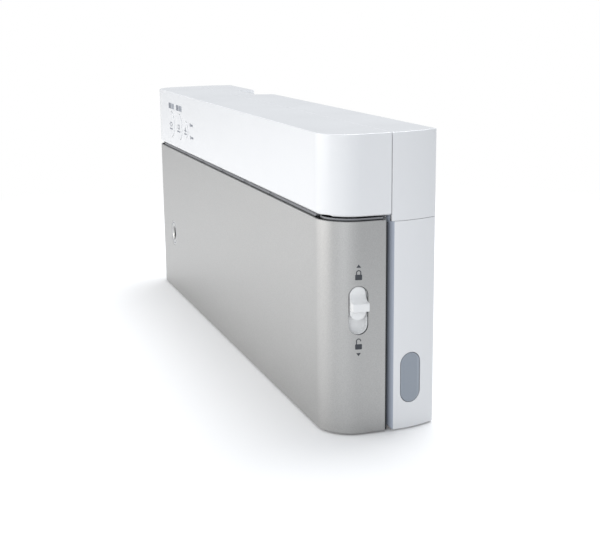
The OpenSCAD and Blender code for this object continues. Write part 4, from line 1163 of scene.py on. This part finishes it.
class SEALER_OT_panel_marks(bpy.types.Operator):
    """Plain bars and simple pictures printed on the control panel, and the two lamp lenses."""

    bl_idname = "sealer.panel_marks"
    bl_label = "Panel marks"

    def execute(self, context):
        face = -settings("sealer_buttons").mark_t
        self.label_bars(face)
        self.bag_picture("vacuum_button", True)
        self.bag_picture("seal_button", False)
        self.drop_picture("food_button")
        self.lamp_labels(face)
        self.lamps()
        return {"FINISHED"}

    @staticmethod
    def label_bars(face):
        """Two bars over each large button."""
        bar_z, bar_h, gap = 0.1540, 0.0044, 0.0011
        rows = (("vacuum_button", (0.0085, 0.0095)), ("seal_button", (0.0075, 0.0105)))
        for row, (node, widths) in enumerate(rows, 1):
            start = centre_of(node)[0] - (sum(widths) + gap) / 2
            for part, (width, key) in enumerate(zip(widths, ("bar_ink", "pale_ink")), 1):
                shape = shifted(rounded(width, bar_h, 0.0004, 3), start + width / 2, 0)
                mark(f"label_bar_{row}_{part}", [shape], (0, face, bar_z), "base", key)
                start = start + width + gap

    @staticmethod
    def on_button(node, shapes):
        """Prints a picture on the face of a button."""
        x, _, z = centre_of(node)
        face = node_box(node)[0].y + 0.00001
        mark(f"{node}_picture", shapes, (x, face, z), PANEL_KEYS[node], "bar_ink")

    def bag_picture(self, node, with_arrows):
        """A bag outline, with a sealed edge or with arrows out of it."""
        stroke, wide, tall = 0.0006, 0.0056, 0.0036
        arrow_at, seal_at, line_at = 0.0050, 0.0014, -0.0036
        level, upright = (rounded(w, h, stroke / 3, 2) for w, h in ((wide, stroke), (stroke, tall)))
        shapes = [shifted(level, 0.0, side * (tall - stroke) / 2) for side in (-1, 1)]
        shapes += [shifted(upright, side * (wide - stroke) / 2, 0.0) for side in (-1, 1)]
        if with_arrows:
            arrow = [(-0.0010, -0.0009), (0.0012, 0), (-0.0010, 0.0009)]
            mirrored = [(-a, b) for a, b in arrow[::-1]]
            shapes += [shifted(arrow, arrow_at, 0), shifted(mirrored, -arrow_at, 0)]
        else:
            shapes.append(shifted(rounded(stroke, tall, 0.0001, 2), seal_at, 0))
        shapes.append(shifted(rounded(0.0100, 0.0011, 0.0003, 3), 0, line_at))
        self.on_button(node, shapes)

    def drop_picture(self, node):
        """A drop between two short lines."""
        r, tip, lowered, steps = 0.0015, 0.0021, 0.0006, 10
        turns = [math.pi * (1 + k / steps) for k in range(steps + 1)]
        drop = [(r * math.cos(a), r * math.sin(a) - lowered) for a in turns] + [(0, tip)]
        dash, dash_x, dash_z, line_at = rounded(0.0018, 0.0006, 0.0001, 2), 0.0034, -0.0010, -0.0034
        shapes = [drop] + [shifted(dash, side * dash_x, dash_z) for side in (-1, 1)]
        shapes.append(shifted(rounded(0.0080, 0.0010, 0.0003, 3), 0, line_at))
        self.on_button(node, shapes)

    @staticmethod
    def lamp_labels(face):
        """A dot and a dash beside each lamp."""
        x, _, z = centre_of("food_button")
        dot, dash = rounded(0.0024, 0.0030, 0.0005, 3), rounded(0.0064, 0.0016, 0.0003, 2)
        out, lean, apart, dash_at = 0.0140, 0.0006, 0.0047, 0.0052
        for index, side in enumerate((1, -1)):
            at = (x + out + lean * index, face, z + side * apart)
            mark(f"lamp_label_{index + 1}", [dot, shifted(dash, dash_at, 0)], at, "base", "bar_ink")

    @staticmethod
    def lamps():
        low, high = node_box("status_lamps")
        r, x = (high.x - low.x) / 2, (low.x + high.x) / 2
        foot, dome_h = 0.00035, 0.0003
        dome = [(r * math.sin(a), foot - dome_h * math.cos(a)) for a in quarter(5)]
        profile = dome + [(r, high.y), (0, high.y)]
        lenses = [lathe("lens", profile, x, z, 32) for z in (low.z + r, high.z - r)]
        settle(join("lamp_lenses", lenses), "base", "lamp", ("status_lamps",))


class SEALER_OT_slider_marks(bpy.types.Operator):
    """Closed and open padlock printed above and below the slider, wrapped on the end of the lid."""

    bl_idname = "sealer.slider_marks"
    bl_label = "Slider marks"

    def execute(self, context):
        _, height, y, z = slider_opening()
        proud, sunk = settings("sealer_buttons").mark_t, 0.0001
        from_slot, arrow_at, arrow_w, arrow_foot, arrow_tip = 0.0058, 0.0052, 0.0013, 0.0008, 0.0010
        for name, side, is_open in (("mark_store", 1, False), ("mark_open", -1, True)):
            middle = z + side * (height / 2 + from_slot)
            arrow = [(-arrow_w, -side * arrow_foot), (arrow_w, -side * arrow_foot), (0, side * arrow_tip)]
            strokes = []
            for shape in self.padlock(is_open) + [shifted(arrow, 0, side * arrow_at)]:
                stroke = along_x("stroke", shape, HALF_L - 0.004, HALF_L + OVER, y - sunk, middle)
                boolean(stroke, "INTERSECT", column("film", 0, LID_H, 0, LID_T, -proud))
                cut(stroke, column("under film", -OVER, LID_H + OVER, -OVER, LID_T + OVER, sunk))
                strokes.append(stroke)
            settle(join(name, strokes), "lid", "dark_ink")
        return {"FINISHED"}

    @staticmethod
    def padlock(is_open):
        """Outlines of the padlock's body, its shackle and the two legs of the shackle."""
        stroke, body_w, body_h, lowered = 0.00055, 0.0038, 0.0030, 0.0009
        shackle_r, rise, sunk, steps = 0.00115, 0.0011, 0.0002, 10
        low = body_h / 2
        top = low + rise + (0.0007 if is_open else 0.0)
        outer, inner = shackle_r + stroke / 2, shackle_r - stroke / 2
        turns = [math.pi * k / steps for k in range(steps + 1)]
        shackle = [(outer * math.cos(a), top + outer * math.sin(a)) for a in turns]
        shackle += [(inner * math.cos(a), top + inner * math.sin(a)) for a in reversed(turns)]
        shapes = [rounded(body_w, body_h, 0.0004, 3), shackle]
        for side, foot in ((-1, low - sunk), (1, top - 0.0003 if is_open else low - sunk)):
            leg = rounded(stroke, top - foot, stroke / 4, 2)
            shapes.append(shifted(leg, side * shackle_r, foot + (top - foot) / 2))
        return [shifted(shape, 0, -lowered) for shape in shapes]


# ---------------------------------------------------------------- back, pads and inside


class SEALER_OT_back_and_feet(bpy.types.Operator):
    """Feet, pads, screw heads and the cord bush."""

    bl_idname = "sealer.back_and_feet"
    bl_label = "Back and feet"

    def execute(self, context):
        self.feet()
        self.pads("base_pads", "base")
        self.pads("lid_pads", "lid")
        self.screws()
        self.bush()
        return {"FINISHED"}

    @staticmethod
    def feet():
        low, high = node_box("back_feet")
        edge, hollow_r, hollow_t = 0.0006, 0.0033, 0.0003
        profile = [(0, low.y), (FOOT_R, low.y)]
        profile += [
            (FOOT_R - edge + edge * math.cos(a), high.y - edge + edge * math.sin(a)) for a in quarter(4)
        ]
        profile += [(hollow_r + hollow_t, high.y), (hollow_r, high.y - hollow_t), (0, high.y - hollow_t)]
        feet = [lathe("foot", profile, x, z, 48) for x, z in spots("back_feet", FOOT_R)]
        settle(join("back_feet_rubber", feet), "base", "rubber", ("back_feet",))

    @staticmethod
    def pads(node, body):
        low, high = node_box(node)
        shape, y, places = pads_at(node)
        pads = [along_z("pad", shape, low.z, high.z, x, y) for x in places]
        for pad in pads:
            bevel(pad, 0.0002, 2, lambda m: m.z < low.z + EPS)
        settle(join(f"{node}_rubber", pads), body, "rubber", (node,))

    @staticmethod
    def screws():
        low, high = node_box("case_screws")
        shank_r, head_t, crown_h, bite = 0.0013, 0.0014, 0.0004, 0.0058
        cross_w, cross_l, cross_t = 0.0007, 0.0030, 0.0009
        short_tip = max(node_box("control_cover")[1].y - bite, low.y)
        under, crown_y = high.y - head_t, high.y - crown_h
        crown = [(SCREW_R * math.cos(a), crown_y + crown_h * math.sin(a)) for a in quarter(4)]
        screws = []
        for x, z in spots("case_screws", SCREW_R, 0.0):
            tip = low.y if z < (low.z + high.z) / 2 else short_tip
            profile = [(0, tip), (shank_r, tip), (shank_r, under), (SCREW_R, under)] + crown
            screw = lathe("screw", profile, x, z, 32)
            for width, height in ((cross_l, cross_w), (cross_w, cross_l)):
                shape = rounded(width, height, 0.0001, 2)
                cut(screw, along_y("cross", shape, high.y - cross_t, high.y + OVER, x, z))
            screws.append(screw)
        settle(join("case_screw_heads", screws), "base", "steel", ("case_screws",))

    @staticmethod
    def bush():
        low, high = node_box("cord_bush")
        x, _, z = centre_of("cord_bush")
        lip_r, bore, lip_w, slack = (high.x - low.x) / 2, 0.0033, 0.0012, 0.00005
        back = node_box("base_housing")[1].y
        inner, outer = back - settings("sealer_shells").wall - slack, back + slack
        barrel = lip_r - lip_w
        profile = [
            (bore, low.y), (lip_r, low.y), (lip_r, inner), (barrel, inner), (barrel, outer), (lip_r, outer),
            (lip_r - 0.0002, high.y - 0.0003), (lip_r - 0.0006, high.y), (bore + 0.0005, high.y),
            (bore, high.y - 0.0005),
        ]
        settle(lathe("cord_bush_ring", profile, x, z, 64), "base", "rubber", ("cord_bush",))


def gasket(node, body, way):
    """Foam ring with a rounded crown on the side that it seals with, at its far side if way is 1."""
    low, high = node_box(node)
    x, _, z = centre_of(node)
    width, height = high.x - low.x, high.z - low.z
    band, crown, corner_r = 0.006, 0.0006, 0.008
    base, top = (low.y, high.y) if way > 0 else (high.y, low.y)
    curve = [(crown * (1 - math.cos(a)), top + way * crown * (math.sin(a) - 1)) for a in quarter(6)]
    section = [(0.0, base), *curve, *((band - a, y) for a, y in reversed(curve)), (band, base)]
    rings = []
    for inward, depth in section:
        shape = rounded(width - 2 * inward, height - 2 * inward, corner_r - 0.6667 * inward, 8)
        rings.append([(x + a, depth, z + b) for a, b in shape])
    bm = bmesh.new()
    bridge(bm, rings, around=True)
    settle(mesh_object(f"{node}_foam", bm), body, "foam", (node,))


class SEALER_OT_inside(bpy.types.Operator):
    """Gaskets, and the finishes of every piece that shows when the lid is open or a shell is off."""

    bl_idname = "sealer.inside"
    bl_label = "Inside"

    def execute(self, context):
        gasket("upper_gasket", "lid", 1)
        gasket("lower_gasket", "base", -1)
        bare = {name for name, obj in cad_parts.items() if not obj.hide_render}
        for key, nodes in CONSTRUCTION_PIECES.items():
            for node in nodes.split():
                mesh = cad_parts[node].data
                mesh.materials.clear()
                mesh.materials.append(finish(key))
                bare.discard(node)
        if bare:
            raise RuntimeError(f"no finish for {sorted(bare)}")
        return {"FINISHED"}


# ---------------------------------------------------------------- stage


def softbox(name, at, target, size, strength, tint):
    data = bpy.data.lights.new(name, "AREA")
    data.shape = "RECTANGLE"
    data.size, data.size_y = size
    data.energy = strength
    data.color = tint
    obj = bpy.data.objects.new(name, data)
    obj.location = at
    obj.rotation_euler = (Vector(target) - Vector(at)).to_track_quat("-Z", "Y").to_euler()
    obj.visible_camera = False
    bpy.context.scene.collection.objects.link(obj)


def mix_shaders(tree, factor, first, second):
    return add(tree, "MixShader", {0: factor, 1: first.outputs[0], 2: second.outputs[0]})


class SEALER_OT_stage(bpy.types.Operator):
    """White floor that keeps the shadow, white surroundings, soft lights and the camera."""

    bl_idname = "sealer.stage"
    bl_label = "Stage"

    def execute(self, context):
        context.scene.view_settings.view_transform = "Standard"
        self.surroundings(context)
        self.floor()
        self.lights()
        self.camera(context)
        return {"FINISHED"}

    @staticmethod
    def surroundings(context):
        """Pale light from all round, weaker in reflections and plain white to the camera."""
        world = bpy.data.worlds.new("Studio")
        context.scene.world = world
        world.use_nodes = True
        tree = world.node_tree
        tree.nodes.clear()
        s = settings("sealer_stage")
        path = add(tree, "LightPath").outputs
        held = math_node(tree, "MULTIPLY", path["Is Glossy Ray"], -s.glossy_held * s.ambient)
        strength = math_node(tree, "ADD", held, s.ambient)
        lit = add(tree, "Background", {"Color": (0.92, 0.955, 1.0, 1), "Strength": strength})
        shown = add(tree, "Background", {"Color": (1, 1, 1, 1)})
        mix = mix_shaders(tree, path["Is Camera Ray"], lit, shown)
        add(tree, "OutputWorld", {"Surface": mix.outputs[0]})

    @staticmethod
    def floor():
        """Pale floor, white to the camera wherever no shadow falls, and clear from below."""
        bm = bmesh.new()
        bmesh.ops.create_circle(bm, cap_ends=True, radius=6.0, segments=96)
        floor = mesh_object("studio_floor", bm)
        made = bpy.data.materials.new("Studio floor")
        made.use_nodes = True
        tree = made.node_tree
        tree.nodes.clear()
        s = settings("sealer_stage")
        paint = add(tree, "BsdfDiffuse", {"Color": (0.72, 0.72, 0.72, 1)})
        pale = add(tree, "BsdfDiffuse", {"Color": (0.86, 0.86, 0.86, 1)})
        lift = add(tree, "Emission", {"Color": (1, 0.985, 0.985, 1), "Strength": s.floor_lift})
        near = add(tree, "AddShader", {0: pale.outputs[0], 1: lift.outputs[0]})
        away = add(tree, "VectorMath", {0: object_place(tree)}, operation="LENGTH").outputs["Value"]
        fade = add(tree, "MapRange", {"Value": away, "From Min": s.fade_from, "From Max": s.fade_to})
        seen = mix_shaders(tree, fade.outputs["Result"], near, add(tree, "Emission"))
        by_ray = mix_shaders(tree, add(tree, "LightPath").outputs["Is Camera Ray"], paint, seen)
        below = add(tree, "NewGeometry").outputs["Backfacing"]
        mix = mix_shaders(tree, below, by_ray, add(tree, "BsdfTransparent"))
        add(tree, "OutputMaterial", {"Surface": mix.outputs[0]})
        floor.data.materials.append(made)

    @staticmethod
    def lights():
        s = settings("sealer_stage")
        middle, near_end, cool = (0, 0, 0.08), (0.21, 0.03, 0.08), (0.975, 0.985, 1.0)
        softbox("Key softbox", (-0.50, -1.45, 0.45), middle, (1.7, 1.1), s.key_power, (1.0, 0.975, 0.945))
        softbox("End softbox", (1.25, -0.85, 0.55), near_end, (0.7, 0.7), s.end_power, (0.97, 0.985, 1.0))
        softbox("Top softbox", (-0.30, 0.40, 1.35), middle, (1.0, 1.0), s.top_power, cool)

    @staticmethod
    def camera(context):
        s = settings("sealer_stage")
        data = bpy.data.cameras.new("Camera")
        data.lens = s.lens
        data.sensor_width = 36.0
        data.clip_start, data.clip_end = 0.01, 50.0
        obj = bpy.data.objects.new("Camera", data)
        turns = ((s.yaw, "Z"), (math.pi / 2 - s.pitch, "X"), (s.roll, "Z"))
        yaw, pitch, roll = (Matrix.Rotation(turn, 4, axis) for turn, axis in turns)
        obj.matrix_world = Matrix.Translation(s.camera_at) @ yaw @ pitch @ roll
        context.scene.collection.objects.link(obj)
        context.scene.camera = obj


OPERATORS = (
    SEALER_OT_control_cover, SEALER_OT_rear_cover, SEALER_OT_base_housing, SEALER_OT_lid_skin,
    SEALER_OT_store_slider, SEALER_OT_port, SEALER_OT_release_buttons, SEALER_OT_panel_buttons,
    SEALER_OT_panel_marks, SEALER_OT_slider_marks, SEALER_OT_back_and_feet, SEALER_OT_inside,
    SEALER_OT_stage,
)


class SEALER_PT_build(bpy.types.Panel):
    """Lists the steps that build the sealer, and its settings."""

    bl_idname = "SEALER_PT_build"
    bl_label = "Vacuum Sealer"
    bl_space_type = "VIEW_3D"
    bl_region_type = "UI"
    bl_category = "Sealer"

    def draw(self, context):
        for operator in OPERATORS:
            self.layout.operator(operator.bl_idname)
        for name, group in SETTINGS.items():
            box = self.layout.box()
            for key in group.__annotations__:
                box.prop(getattr(context.scene, name), key)


def register():
    for name, group in SETTINGS.items():
        bpy.utils.register_class(group)
        setattr(bpy.types.Scene, name, PointerProperty(type=group))
    for cls in (*OPERATORS, SEALER_PT_build):
        bpy.utils.register_class(cls)


def unregister():
    for cls in reversed((*OPERATORS, SEALER_PT_build)):
        bpy.utils.unregister_class(cls)
    for name, group in reversed(list(SETTINGS.items())):
        delattr(bpy.types.Scene, name)
        bpy.utils.unregister_class(group)


def main():
    register()
    for operator in OPERATORS:
        family, step = operator.bl_idname.split(".")
        getattr(getattr(bpy.ops, family), step)()


if __name__ == "__main__":
    main()
